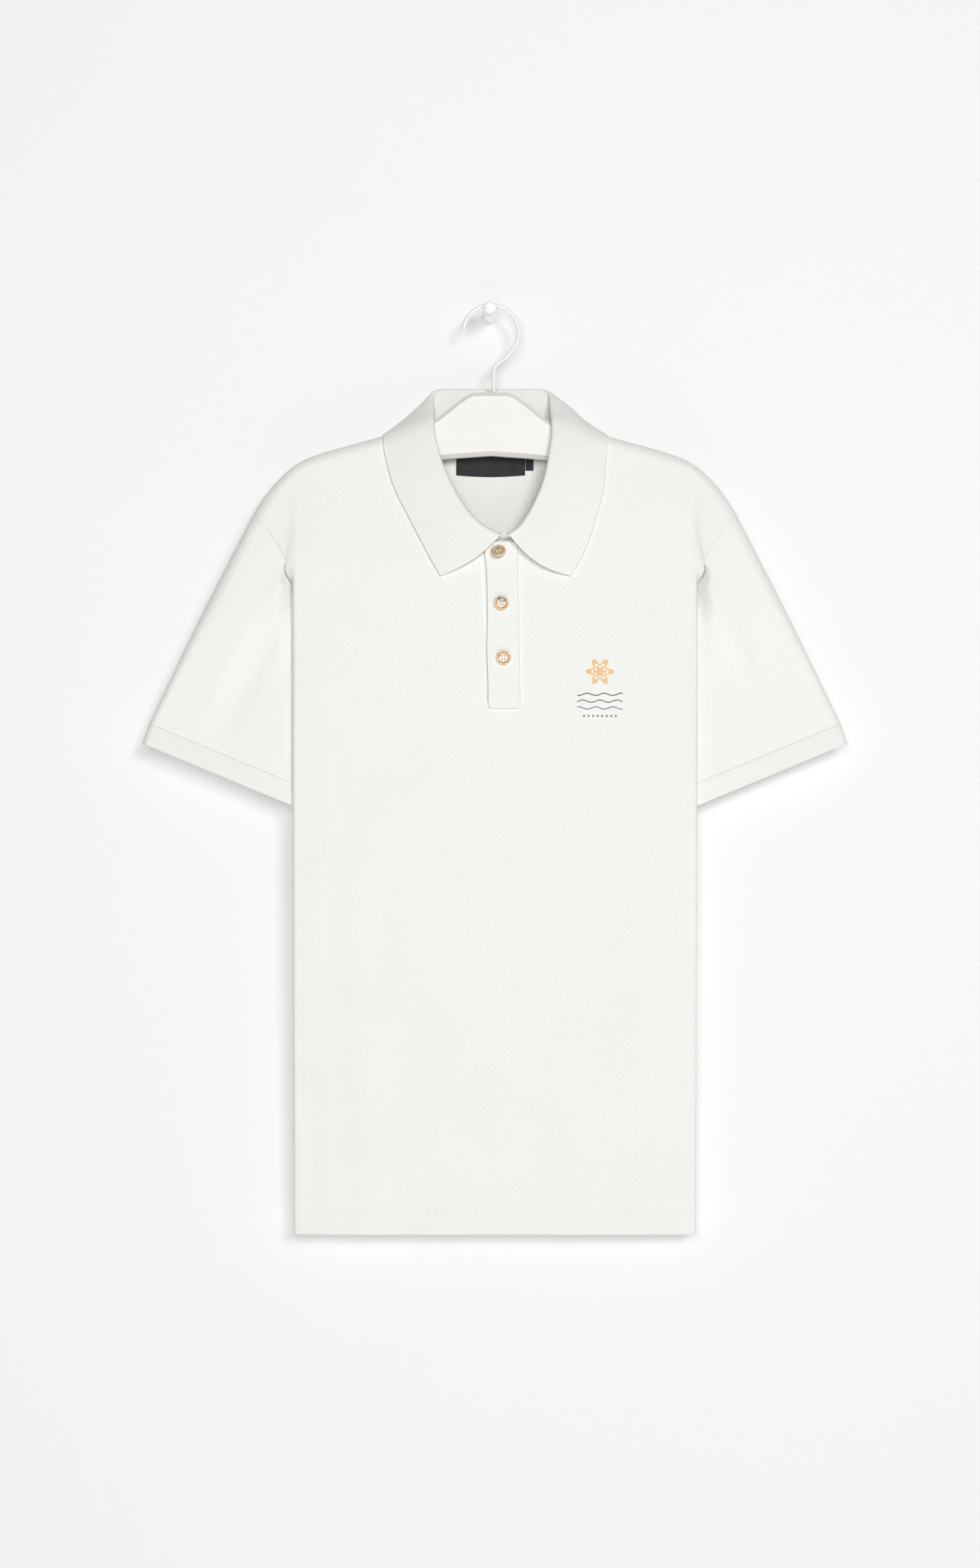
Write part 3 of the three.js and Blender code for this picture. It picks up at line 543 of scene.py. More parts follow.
# A point of the cloth past the side fold, seen as the right side of the shirt
def tuckPoint(side, step, along, z, atSeam):
    bend = pi * smoothstep(-z, -foldStart, -foldFull)
    start = panelDepth(side, foldEdge, z)
    angle = min(along / foldRadius, bend)
    straight = max(along - bend * foldRadius, 0)
    x = foldEdge + foldRadius * sin(angle) + straight * cos(bend)
    inward = foldRadius * (1 - cos(angle)) + straight * sin(bend)
    valleyStep = step + 1 - tuckShares["arc"] - tuckShares["straight"]
    if atSeam > 0 and valleyStep >= 0:
        turn = valleyStep / tuckShares["valley"] * pi / 2
        seamY = (panelDepth(front, foldX, z, False) + panelDepth(back, foldX, z, False)) / 2
        reach = abs(seamY - start) - sideSeamGap / 2
        x = lerp(x, sideSeamX + valleyReach * (1 - sin(turn)), atSeam)
        inward = lerp(inward, lerp(2 * foldRadius, reach, 1 - cos(turn)), atSeam)
    # The strip leaves the panel in the panel's own direction
    slope = (start - panelDepth(side, foldEdge - 2, z)) / 2
    return Vector((x, start - side["toWall"] * inward + slope * 6 * (1 - exp(-along / 6)), z))


def panelRuns():
    runs = [(k / crestSteps * pi / 2, 0) for k in range(crestSteps + 1)]
    half = pi / 2
    runs += [(half, armholeRun * (k + 1) / armholeSteps) for k in range(armholeSteps)]
    step = gridStep / panelHeight
    groove = [hemRun + offset / panelHeight for offset in (-3, -1.2, 0, 1.2, 3)]
    below = stepsBetween([armholeRun, slotRun, groove[0]], step)
    below += groove[1:] + stepsBetween([groove[-1], 1 - 0.9 / panelHeight], step)[1:] + [1]
    return runs + [(half, run) for run in below[1:]]


def panelGrid(side, flatColumns):
    runs = panelRuns()
    points, flats = [], []
    for angle, run in runs:
        def heightAt(x):
            return lerp(shoulderHeight(x) - crestDrop * (1 - cos(angle)), hemHeight, run)

        def overCrest(y):
            return lerp(crestY + side["toWall"] * seamGap / 2, y, sin(angle))

        edge = heightAt(shoulderEndX)
        length = lookUp(tuckLength, edge)
        atSeam = smoothstep(run, armholeRun * panelShape["seamFrom"], armholeRun)
        down = run * panelShape["flatHeight"] + angle * crestDrop
        row, flatRow = [], []
        for x in flatColumns:
            z = heightAt(x)
            offset = (z - hemHeight - hemDepth) / panelShape["grooveWidth"]
            groove = panelShape["grooveDepth"] * exp(-offset ** 2)
            y = overCrest(panelDepth(side, x, z) - side["toWall"] * groove)
            row.append(Vector((x, y, z)))
            flatRow.append((x, down))
        tuck, flatTuck = [], []
        for step, along in enumerate(tuckColumns(length)):
            z = heightAt(lerp(foldEdge, shoulderEndX, along / length))
            point = tuckPoint(side, step, along, z, atSeam)
            point.y = overCrest(point.y)
            tuck.append(point)
            flatTuck.append((foldEdge + along, down))
        points.append([Vector((-p.x, p.y, p.z)) for p in tuck[::-1]] + row + tuck)
        flats.append([(-u, w) for u, w in flatTuck[::-1]] + flatRow + flatTuck)
    return points, flats


def neckPoint(angle):
    drop = frontNeckDrop if angle > 0 else backNeckDrop
    return neckHalfWidth * cos(angle), neckHeight - drop * abs(sin(angle))


# The front's neckline stands off the shirt's middle as it goes down
def neckMiddle(direction, z):
    return collarShiftAt(z) if direction > 0 else 0


# The neck curve of one panel, right to left
def neckCurve(direction, steps=240):
    out = []
    for k in range(steps + 1):
        angle = pi * k / steps
        half, z = neckPoint(direction * min(angle, pi - angle))
        out.append((neckMiddle(direction, z) + (half if k <= steps / 2 else -half), z))
    return out


def insideNeck(direction, x, z):
    depth = (neckHeight - z) / (frontNeckDrop if direction > 0 else backNeckDrop)
    if depth <= 0:
        return abs(x) < neckHalfWidth
    return depth < 1 and abs(x - neckMiddle(direction, z)) < neckHalfWidth * sqrt(1 - depth * depth)


# Cuts the neck out of a panel and moves the cut edge onto the neck curve
def cutNeck(bm, direction):
    def placeOf(co):
        return co.x / mm - shirtCentreX, co.z / mm

    inside = [f for f in bm.faces if insideNeck(direction, *placeOf(f.calc_center_median()))
              and f.calc_center_median().z > neckLimit * mm]
    bmesh.ops.delete(bm, geom=inside, context="FACES")
    curve = neckCurve(direction)
    for v in [v for v in bm.verts if v.is_boundary]:
        x, z = placeOf(v.co)
        nearest = min(curve, key=lambda p: (p[0] - x) ** 2 + (p[1] - z) ** 2)
        besideNeck = abs(x - collarShiftAt(z)) < neckHalfWidth + 3
        if besideNeck and dist(nearest, (x, z)) < panelShape["neckBand"]:
            v.co.x, v.co.z = (nearest[0] + shirtCentreX) * mm, nearest[1] * mm
    bmesh.ops.dissolve_degenerate(bm, dist=0.02 * mm, edges=bm.edges)


flatFront = stepsBetween([-foldEdge, slotLeft, slotRight, foldEdge], gridStep)
flatBack = stepsBetween([-foldEdge, foldEdge], gridStep)
# The placket's slot leans to the right as it goes down, so the strip behind it narrows
slotBand = dict(width=14, heights=(-360, -180), end=(347, 360))
slotLean = [(-347, 4.6), (-319, 4.3), (-291, 2.1), (-258, 0.1), (-219, -2.2), (-200, -2.6)]
frontPoints, frontFlats = panelGrid(front, flatFront)
for row in frontPoints:
    for point in row:
        near = exp(-((point.x - slotLeft) / slotBand["width"]) ** 2)
        if near > 0.01 and slotBand["heights"][0] < point.z < slotBand["heights"][1]:
            point.x += lookUp(slotLean, point.z) * near * (1 - smoothstep(-point.z, *slotBand["end"]))
backPoints, backFlats = panelGrid(back, flatBack)

bm, where = gridMesh(frontPoints, frontFlats)
slotColumns = range(flatFront.index(slotLeft) + tuckSteps, flatFront.index(slotRight) + tuckSteps + 1)
slotFaces = [face for face in bm.faces if all(where[v][1] in slotColumns for v in face.verts)
             and face.calc_center_median().z > slotBottom * mm]
bmesh.ops.delete(bm, geom=slotFaces, context="FACES")
cutNeck(bm, 1)
bodyFront = finished("polo_front", bm, printedMaterial, "cloth", ["body_front"])
thicken(bodyFront, clothThickness)
bm = gridMesh(backPoints, backFlats)[0]
cutNeck(bm, -1)
bodyBack = finished("polo_back", bm, clothMaterial, "cloth", ["body_back"])
thicken(bodyBack, clothThickness)
print("body made")


# A place on the front or back panel, between its folds
def onFront(x, z):
    return Vector((x, panelDepth(front, x, z), z))


def onBack(x, z):
    return Vector((x, panelDepth(back, x, z), z))


# A run on a sleeve goes from the armhole at 0 to the cuff at 1
sleeve = dict(cuffWidth=168, seamOuter=(306.3, -366.5), endOuter=(312.6, -384), angle=radians(22.6),
              halfDepth=6.8, middleY=-28.3, rounding=6, bulge=1.2, lastSteps=5, step=3.6,
              length=200, creaseShare=0.55)
# Creases along and across a sleeve: run from, around from, run to, around to, width, height
sleeveCreases = [
    (0.05, 0.62, 0.75, 0.66, 0.05, 1.0), (0.02, 0.45, 0.42, 0.52, 0.05, 0.8),
    (0.3, 0.3, 0.95, 0.36, 0.05, 0.6), (0.0, 0.78, 0.5, 0.80, 0.05, 1.0),
    (0.25, 0.86, 0.9, 0.78, 0.06, -0.8), (0.1, 0.2, 0.5, 0.16, 0.06, 0.5),
]
# Beside the armhole seam the front of a sleeve stands as high as the body
puff = dict(edge=(193, 184), edgeHeights=(-262, -230), fade=(195, 290), heights=(-345, -240),
            firstRun=0.05, crestShare=0.2, lift=0.3)


# How the sleeve's edge lies to the panel's: apart from it, round its bend, and below it at the underarm
armhole = dict(apart=0.15, round=0.75, underarm=1.6, clearFrom=0.2, clearFull=0.6)


def armholeLine(points, side):
    last = crestSteps + armholeSteps
    line = []
    for i in range(last + 1):
        edge, before = points[i][-1], points[i][-2]
        way = edge - before
        way.z = 0
        way.normalize()
        turned = (1 - way.x) / 2
        point = edge.copy()
        if i == last:
            line.append(point + Vector((armhole["underarm"], 0, 0)))
            continue
        point.x -= armhole["apart"] * (1 - turned) - armhole["round"] * clothThickness * way.y * way.y
        away = (clothThickness + seamGap) * turned
        if i > crestSteps:
            away += turnClearance * smoothstep(turned, armhole["clearFrom"], armhole["clearFull"])
        point.y -= side["toWall"] * away
        line.append(point)
    return line


def cuffLine(outer, count, toWall):
    s = sleeve
    across = Vector((-cos(s["angle"]), 0, -sin(s["angle"])))
    flatSteps = count - 1 - crestSteps - s["lastSteps"]
    line = []
    for i in range(count):
        if i <= crestSteps:
            angle = i / crestSteps * pi / 2
            distance, bulge = s["rounding"] * (1 - cos(angle)), sin(angle)
        elif i <= crestSteps + flatSteps:
            distance = lerp(s["rounding"], s["cuffWidth"] - s["rounding"], (i - crestSteps) / flatSteps)
            bulge = 1
        else:
            angle = (count - 1 - i) / s["lastSteps"] * pi / 2
            distance, bulge = s["cuffWidth"] - s["rounding"] * (1 - cos(angle)), sin(angle)
        start = Vector((outer[0], s["middleY"] + toWall * s["halfDepth"] * bulge, outer[1]))
        line.append(start + across * distance)
    return line


def joinLoop(near, far):
    loop = [near[0].lerp(far[0], 0.5)] + near[1:-1] + [near[-1].lerp(far[-1], 0.5)] + far[1:-1][::-1]
    return loop + [loop[0].copy()]


armholeLoop = joinLoop(armholeLine(frontPoints, front), armholeLine(backPoints, back))
loopCount = crestSteps + armholeSteps + 1
cuffSeam = joinLoop(*(cuffLine(sleeve["seamOuter"], loopCount, w) for w in (-1, 1)))
cuffEnd = joinLoop(*(cuffLine(sleeve["endOuter"], loopCount, w) for w in (-1, 1)))


def puffShare(place, run, toOuter):
    edge = lerp(*puff["edge"], smoothstep(place.z, *puff["edgeHeights"]))
    share = smoothstep(place.x, foldX, edge) * (1 - smoothstep(place.x, *puff["fade"]))
    share *= smoothstep(place.z, *puff["heights"])
    return share * smoothstep(run, 0, puff["firstRun"]) * smoothstep(toOuter, 0, puff["crestShare"])


def sleevePoints(creases):
    outward = Vector((cos(sleeve["angle"]), 0, sin(sleeve["angle"])))
    runs = [0, 0.004] + stepsBetween([0.012, 0.985], sleeve["step"] / sleeve["length"]) + [0.995, 1]
    count = len(armholeLoop)
    points = []
    for run in runs:
        row = []
        for i, point in enumerate(armholeLoop):
            toOuter = min(i, count - 1 - i) / loopCount
            bulge = sleeve["bulge"] * sin(pi * run) * (1 - smoothstep(toOuter, 0.3, 0.7))
            place = point.lerp(cuffSeam[i], run) + outward * bulge
            toWall = -1 if i < count / 2 else 1
            height = 0
            for r0, a0, r1, a1, width, tall in creases:
                t = clamp((run - r0) / (r1 - r0), -0.3, 1.3)
                away = (toOuter - lerp(a0, a1, t)) / width
                ends = smoothstep(t, -0.25, 0.3) * (1 - smoothstep(t, 0.7, 1.25))
                height += sleeve["creaseShare"] * tall * ends * exp(-away * away)
            if toWall < 0:
                flush = min(place.y, panelDepth(front, foldEdge, place.z) + puff["lift"])
                place.y = lerp(place.y, flush, puffShare(place, run, toOuter))
            flatness = smoothstep(toOuter, 0.05, 0.15) * (1 - smoothstep(toOuter, 0.88, 0.97))
            ends = smoothstep(run, 0, 0.08) * (1 - smoothstep(run, 0.94, 1))
            place.y += toWall * height * flatness * ends
            row.append(place)
        points.append(row)
    return points


cuff = dict(overlap=0.15, swell=0.5, swellEnd=0.8, runs=[0, 0.04, 0.12, 0.25, 0.4, 0.55, 0.7, 0.85, 0.95, 1])


def cuffPoints():
    along = Vector((sleeve["endOuter"][0] - sleeve["seamOuter"][0], 0,
                    sleeve["endOuter"][1] - sleeve["seamOuter"][1]))
    gap = along.normalized() * -cuff["overlap"]
    rows = []
    for run in cuff["runs"]:
        # The knitted band draws in a little at the seam and flares at its end
        swell = cuff["swell"] * sin(pi * clamp(run / cuff["swellEnd"])) * (1 - run)
        rows.append([(p + gap).lerp(e, run) + Vector((0, swell * (-1 if i < len(cuffSeam) / 2 else 1), 0))
                     for i, (p, e) in enumerate(zip(cuffSeam, cuffEnd))])
    return rows


def tubeFlats(points):
    downs = alongLine([row[len(row) // 4] for row in points])
    return [[(u, down) for u in alongLine(row)] for row, down in zip(points, downs)]


def mirrored(points, hand):
    return [[Vector((hand * p.x, p.y, p.z)) for p in row] for row in points]


sleeves, cuffs = {}, {}
for side, hand in (("right", 1), ("left", -1)):
    creases = sleeveCreases if hand > 0 else [
        (r0 + 0.04, a0 - 0.03, r1, a1 + 0.02, w, t * 0.9) for r0, a0, r1, a1, w, t in sleeveCreases]
    points = sleevePoints(creases)
    sleeves[side] = clothPiece("polo_sleeve_" + side, mirrored(points, hand), tubeFlats(points),
                               clothMaterial, "cloth", "sleeve_" + side, clothThickness, closed=True)
    points = cuffPoints()
    cuffs[side] = clothPiece("polo_cuff_" + side, mirrored(points, hand), tubeFlats(points),
                             ribMaterial, "rib", "cuff_" + side, ribThickness, closed=True)
print("sleeves made")


# The collar, one strip: it rises from the neck seam, rolls over and falls to its free edge
# at, seam angle, roll x y z, edge x y z, lift of the fall
collarStations = [
    (0.0, -90, 0, -11.4, -67, 0, -8.4, -115, 1.2),
    (0.12, -66, 28, -11.6, -67, 42, -8.6, -115.5, 1.4),
    (0.22, -42, 47, -13, -67.6, 78, -12, -113, 0.6),
    (0.31, -20, 52, -18, -73.5, 96, -21, -109.9, 0.1),
    (0.37, -5, 52.2, -25, -82, 98.2, -29.5, -109.6, 0.3),
    (0.42, 0, 52.3, -32, -91, 99, -38.2, -113.2, 0.8),
    (0.475, 4, 52.3, -40, -100, 98.6, -43, -121.5, 1.4),
    (0.54, 13, 51.4, -45, -115, 97.2, -43.5, -133.5, 1.8),
    (0.66, 30, 44.2, -50, -145, 92, -45.6, -160, 1.8),
    (0.79, 48, 32.4, -53, -172, 80.5, -47.2, -190, 1.6),
    (0.9, 67, 19, -55, -191, 69, -48.2, -216, 1.5),
    (1.0, 86, 2.2, -56.5, -203, 57.5, -48.7, -237, 1.4),
]
# Height and sideways place of the middle of the roll, which stands off the shirt's middle
rollMiddle = [(-60, -3.4), (-75, -3.3), (-100, -2), (-131, -0.5), (-155, 1.6), (-174, 2.9), (-188, 4.4),
              (-203, 8.5)]
# Each half has its own dip near the front corner, and the right one a hump at the shoulder
collarShape = dict(columns=72, rounding=2.2, inset=0.95, stand=10, round=8, fall=28, edgeRuns=(0.97, 0.985),
                   dip={-1: 5.0, 1: 8.0}, dipFrom=0.82, dipPower=0.85, hump={-1: 0, 1: 2.4},
                   humpStart=(0.18, 0.3), humpEnd=(0.36, 0.5), humpReach=0.6)


def rollPoint(at, hand):
    x, y, z = (lookUp(collarStations, at, column) for column in (2, 3, 4))
    return Vector((lookUp(rollMiddle, z) + hand * x, y, z))


def collarSection(at, hand):
    s = collarShape
    angle = radians(lookUp(collarStations, at))
    edgeX, edgeY, edgeZ, lift = (lookUp(collarStations, at, column) for column in range(5, 9))
    half, z = neckPoint(angle)
    seamX = neckMiddle(angle, z) + hand * half * (1 - s["inset"] / neckHalfWidth)
    seamZ = z + s["inset"] * abs(sin(angle))
    seam = (onFront if angle > 0 else onBack)(seamX, seamZ)
    # Near the shoulder the panels' edges come together over the hanger
    drop = shoulderHeight(seamX) - seamZ
    if drop < crestDrop:
        turn = acos(clamp(1 - max(drop, 0) / crestDrop))
        side = front if angle > 0 else back
        seam.y = lerp(crestY + side["toWall"] * seamGap / 2, seam.y, sin(turn))

    roll = rollPoint(at, hand)
    edge = Vector((collarShiftAt(edgeZ) + hand * edgeX, edgeY, edgeZ))
    rise = (roll - seam).normalized()
    # Square to the fall, on its outer side: to the wall behind, up at the shoulder, to the viewer in front
    tangent = rollPoint(min(at + 0.02, 1), hand) - (rollPoint(at - 0.02, hand) if at > 0.02 else roll)
    out = (edge - roll).cross(tangent).normalized()
    outer = Vector((hand * 0.5 * cos(angle), -sin(angle), cos(angle)))
    out *= copysign(1, out.dot(outer))
    away = (out - rise * out.dot(rise)).normalized()
    centre = roll - rise * s["rounding"]
    turns = [radians(lerp(-90, 90, k / s["round"])) for k in range(s["round"] + 1)]
    bend = [centre + (away * sin(t) + rise * cos(t)) * s["rounding"] for t in turns]
    rises = [k / s["stand"] for k in range(s["stand"])]
    stand = [seam.lerp(bend[0], t) for t in rises]
    evenTo, narrow = s["edgeRuns"]
    runs = stepsBetween([0, evenTo], evenTo / s["fall"])[1:] + [narrow, 1]
    dip = s["dip"][hand] * smoothstep(at, s["dipFrom"], 1)
    hump = s["hump"][hand] * smoothstep(at, *s["humpStart"]) * (1 - smoothstep(at, *s["humpEnd"]))
    fall = []
    for t in runs:
        rounded = lift * sin(pi * t) + hump * sin(pi * min(t / s["humpReach"], 1))
        sag = Vector((0, 0, dip * sin(pi * t ** s["dipPower"])))
        fall.append(bend[-1].lerp(edge, t) + out * rounded - sag)
    return stand + bend + fall


def collarPoints():
    count = collarShape["columns"]
    ats = [k / count for k in range(count)] + [0.994, 1]
    sections = [collarSection(at, -1) for at in ats[:0:-1]] + [collarSection(at, 1) for at in ats]
    return [list(row) for row in zip(*sections)]


collarGrid = collarPoints()
lengths = alongLine(collarGrid[len(collarGrid) // 2])
falls = [alongLine([row[j] for row in collarGrid]) for j in range(len(lengths))]
flats = [[(lengths[j], falls[j][i]) for j in range(len(lengths))] for i in range(len(collarGrid))]
collarPiece = clothPiece("polo_collar", collarGrid, flats, ribMaterial, "rib", "collar", ribThickness)
print("collar made")


# Left and right edges of the placket at a height, and of the strip under it
placketShape = dict(bottom=-353.6, top=-206.5, right=[(-354, 22.6), (-210, 20.0)],
                    left=[(-354, -6), (-331, -6), (-300, -7.1), (-283, -6.6), (-263, -6.6), (-232, -7.4),
                          (-217, -8.9), (-206, -9.5)], step=2.2, corner=2.6)
underShape = dict(bottom=-350, top=-204.5, right=[(-350, 15.5), (-204, 15.5)],
                  left=[(-350, -9), (-300, -12.5), (-204, -17.5)], step=3.0, corner=0)
frontStep = clothThickness / 2 + seamGap + placketThickness / 2
stitchInset, boxHeight = 1.6, 16.5


def stripPoints(s, offset, dip=None):
    points, flats = [], []
    for down in edgedSteps(0, s["top"] - s["bottom"], 0.7, 2.2, s["step"]):
        z = s["top"] - down
        left, right = lookUp(s["left"], z), lookUp(s["right"], z)
        above = z - s["bottom"]
        if above < s["corner"]:
            rounded = s["corner"] - sqrt(s["corner"] ** 2 - (s["corner"] - above) ** 2)
            left, right = left + rounded, right - rounded
        xs = edgedSteps(left, right, 0.7, 2.2, s["step"])
        row = []
        for x in xs:
            p = onFront(x, z)
            p.y -= offset
            if dip:
                p.y += dip(x - left, right - x, z - s["bottom"])
            row.append(p)
        points.append(row)
        flats.append([(x, down) for x in xs])
    # Every row keeps as many columns as the narrowest one
    width = min(len(row) for row in points) - 2
    return [[row[:width] + row[-2:] for row in grid] for grid in (points, flats)]


# The stitch lines pull the placket's edges in a little
def placketDip(fromLeft, fromRight, fromBottom):
    edge = min(fromLeft, fromRight, fromBottom)
    box = 0.16 * exp(-((fromBottom - boxHeight) / 1.1) ** 2)
    box -= 0.2 * (1 - smoothstep(fromBottom, boxHeight - 2, boxHeight + 2))
    return 0.15 * exp(-(edge - stitchInset) ** 2) + box


placketUpper = clothPiece("polo_placket_upper", *stripPoints(placketShape, frontStep, placketDip),
                          clothMaterial, "cloth", "placket_upper", placketThickness)
placketUnder = clothPiece("polo_placket_under", *stripPoints(underShape, -frontStep),
                          clothMaterial, "cloth", "placket_under", placketThickness)

# The end of the neck tape leans forward as it rises out of the placket
neckTapeEnd = dict(z=-205, halfWidth=3.2, narrow=0.6, lean=4, rise=6, thickness=1.0)
tapeMiddle = collarShiftAt(neckTapeEnd["z"]) - 1
tapeBase = onFront(tapeMiddle, neckTapeEnd["z"]).y + clothThickness
tapeXs = [-neckTapeEnd["halfWidth"], neckTapeEnd["narrow"] - neckTapeEnd["halfWidth"], 0]
tapeXs += [-x for x in tapeXs[1::-1]]
points = [[Vector((tapeMiddle + x, tapeBase - neckTapeEnd["lean"] * t, -204.4 + neckTapeEnd["rise"] * t))
           for x in tapeXs] for t in (0, 0.1, 0.4, 0.7, 0.9, 1)]
flats = [[(p.x, p.z) for p in row] for row in points]
neckTape = clothPiece("polo_neck_tape", points, flats, tapeMaterial, "cloth", "neck_tape_end",
                      neckTapeEnd["thickness"])


# Short stitches along a line of points, each a small spindle lying on the cloth
def stitches(name, lines, s, material, slot):
    bm = bmesh.new()
    for line in lines:
        places = alongLine(line)
        at = s["length"] / 2
        while at < places[-1] - s["length"] / 2:
            k = next(i for i, p in enumerate(places) if p > at) - 1
            t = (at - places[k]) / (places[k + 1] - places[k])
            middle = line[k].lerp(line[k + 1], t)
            way = (line[k + 1] - line[k]).normalized()
            side = way.cross(Vector((0, 1, 0))).normalized()
            out = side.cross(way)
            turned = Matrix((way, side, out)).transposed().to_4x4()
            size = Matrix.Diagonal((s["length"] / 2 * mm, s["radius"] * mm, s["radius"] * 0.8 * mm, 1))
            place = Matrix.Translation(inMetres(*middle))
            bmesh.ops.create_uvsphere(bm, u_segments=6, v_segments=4, radius=1,
                                      matrix=place @ turned @ size @ Matrix.Rotation(pi / 2, 4, "Y"))
            at += s["length"] + s["gap"]
    return finished(name, bm, material, slot)


def hemLine(side, xs):
    z = hemHeight + hemDepth
    out = side["toWall"] * (clothThickness / 2 - 0.25)
    return [Vector((x, panelDepth(side, x, z) + out, z)) for x in xs]


hemThread = dict(length=2.4, gap=0.7, radius=0.28)
edgeXs = stepsBetween([-foldEdge, foldEdge], 5)
hemStitches = stitches("polo_hem_stitches", [hemLine(front, edgeXs), hemLine(back, edgeXs)], hemThread,
                       threadMaterial, "cloth")
placketThread = dict(length=2.0, gap=0.6, radius=0.18)
outPlacket = frontStep + placketThickness / 2 - 0.25


def placketLine(places):
    line = []
    for (x0, z0), (x1, z1) in zip(places, places[1:]):
        for t in stepsBetween([0, 1], 4 / hypot(x1 - x0, z1 - z0)):
            p = onFront(lerp(x0, x1, t), lerp(z0, z1, t))
            p.y -= outPlacket
            line.append(p)
    return line


def placketSide(side, z):
    inset = stitchInset if side == "left" else -stitchInset
    return lookUp(placketShape[side], z) + inset, z


bottom = placketShape["bottom"]
sideHeights = [-212, -240, -270, -300, -330, bottom + stitchInset]
sideLine = [placketSide("left", z) for z in sideHeights]
sideLine += [placketSide("right", z) for z in sideHeights[::-1]]
boxLine = [placketSide(side, bottom + boxHeight) for side in ("left", "right")]
placketStitches = stitches("polo_placket_stitches", [placketLine(sideLine), placketLine(boxLine)],
                           placketThread, threadMaterial, "cloth")


# A turned body: the profile's pairs are radius and height, spun round +Z
def lathe(profile, steps):
    bm = bmesh.new()
    layer = bm.loops.layers.uv.new("flat")
    verts = [bm.verts.new((radius * mm, 0, height * mm)) for radius, height in profile]
    edges = [bm.edges.new(pair) for pair in zip(verts, verts[1:])]
    bmesh.ops.spin(bm, geom=verts + edges, cent=(0, 0, 0), axis=(0, 0, 1), angle=2 * pi, steps=steps,
                   use_merge=True)
    bmesh.ops.remove_doubles(bm, verts=bm.verts, dist=1e-6)
    bmesh.ops.recalc_face_normals(bm, faces=bm.faces)
    for face in bm.faces:
        for loop in face.loops:
            loop[layer].uv = (hypot(loop.vert.co.x, loop.vert.co.y), loop.vert.co.z)
    return bm


# The face's pairs are steps inwards from the edge and down from the top of the rim
buttonShape = dict(radius=6.5, thickness=2.4, holeRadius=0.85, holePlace=1.75, sides=48,
                   face=[(0, 0.7), (0.15, 0.3), (0.5, 0.05), (0.9, 0), (1.3, 0.05), (1.8, 0.3), (2.3, 0.5),
                         (2.9, 0.6), (4, 0.62)])
buttons = [("button_1", 3, -215, 38, 10, 2.6), ("button_2", 5.7, -260.7, 0, 0, 0),
           ("button_3", 7.6, -308.7, 0, 0, 0)]


def buttonMesh():
    s = buttonShape
    half, r = s["thickness"] / 2, s["radius"]
    bm = lathe([(0, -half), (r - 1.0, -half), (r - 0.35, -half + 0.25), (r, -half + 0.8)]
               + [(r - inward, half - down) for inward, down in s["face"]] + [(0, half - 0.6)], s["sides"])
    cutter = bmesh.new()
    for k in range(4):
        angle = (k + 0.5) * pi / 2
        place = Vector((cos(angle), sin(angle), 0)) * s["holePlace"] * mm
        bmesh.ops.create_cone(cutter, cap_ends=True, segments=16, radius1=s["holeRadius"] * mm,
                              radius2=s["holeRadius"] * mm, depth=4 * mm, matrix=Matrix.Translation(place))
    holes = addObject("holes", meshFrom("holes", cutter))
    disc = addObject("disc", meshFrom("disc", bm))
    cut = disc.modifiers.new("cut", "BOOLEAN")
    cut.operation, cut.object, cut.solver = "DIFFERENCE", holes, "EXACT"
    result = bpy.data.meshes.new_from_object(disc.evaluated_get(bpy.context.evaluated_depsgraph_get()))
    bpy.data.objects.remove(disc)
    bpy.data.objects.remove(holes)
    bm = bmesh.new()
    bm.from_mesh(result)
    return bm


# How each button stands: tilted back at its top, turned to one side, and lifted off the cloth
def buttonPlace(x, z, tilt, turn, lift):
    out = frontStep + placketThickness / 2 + seamGap + buttonShape["thickness"] / 2 + 0.05
    return (Matrix.Translation(inMetres(x, onFront(x, z).y - out - lift, z))
            @ Matrix.Rotation(radians(-turn), 4, "Y")
            @ Matrix.Rotation(pi / 2 - radians(tilt), 4, "X"))


for name, *place in buttons:
    bm = buttonMesh()
    bmesh.ops.transform(bm, matrix=buttonPlace(*place), verts=bm.verts)
    piece = finished("polo_" + name, bm, shellMaterial, "button", [name])
    piece.data.set_sharp_from_angle(angle=radians(38))


strand = dict(radius=0.26, length=3.4, apart=1.24, beside=0.22)


# Thread through the four holes of each button, two strands side by side
def buttonThreads(s):
    bm = bmesh.new()
    middles = [hand * s["apart"] + beside for hand in (-1, 1) for beside in (-s["beside"], s["beside"])]
    for name, *stand in buttons:
        place = buttonPlace(*stand)
        for middle in middles:
            start = len(bm.verts)
            made = bmesh.ops.create_cone(bm, cap_ends=True, segments=8, radius1=s["radius"] * mm,
                                         radius2=s["radius"] * mm, depth=s["length"] * mm)
            edges = {e for v in made["verts"] for e in v.link_edges}
            upright = [e for e in edges if abs(e.verts[0].co.z - e.verts[1].co.z) > 1 * mm]
            bmesh.ops.subdivide_edges(bm, edges=upright, cuts=7, use_grid_fill=True)
            bm.verts.ensure_lookup_table()
            for v in bm.verts[start:]:
                t = v.co.z / (s["length"] / 2 * mm)
                rise = 0.62 + 0.45 * sqrt(max(0, 1 - (t * 0.93) ** 2))
                rise -= 0.9 * smoothstep(abs(t), 0.75, 1)
                v.co = place @ Vector((v.co.x + middle * mm, v.co.z, v.co.y + rise * mm))
    return finished("polo_button_threads", bm, threadMaterial, "cloth")


buttonThread = buttonThreads(strand)

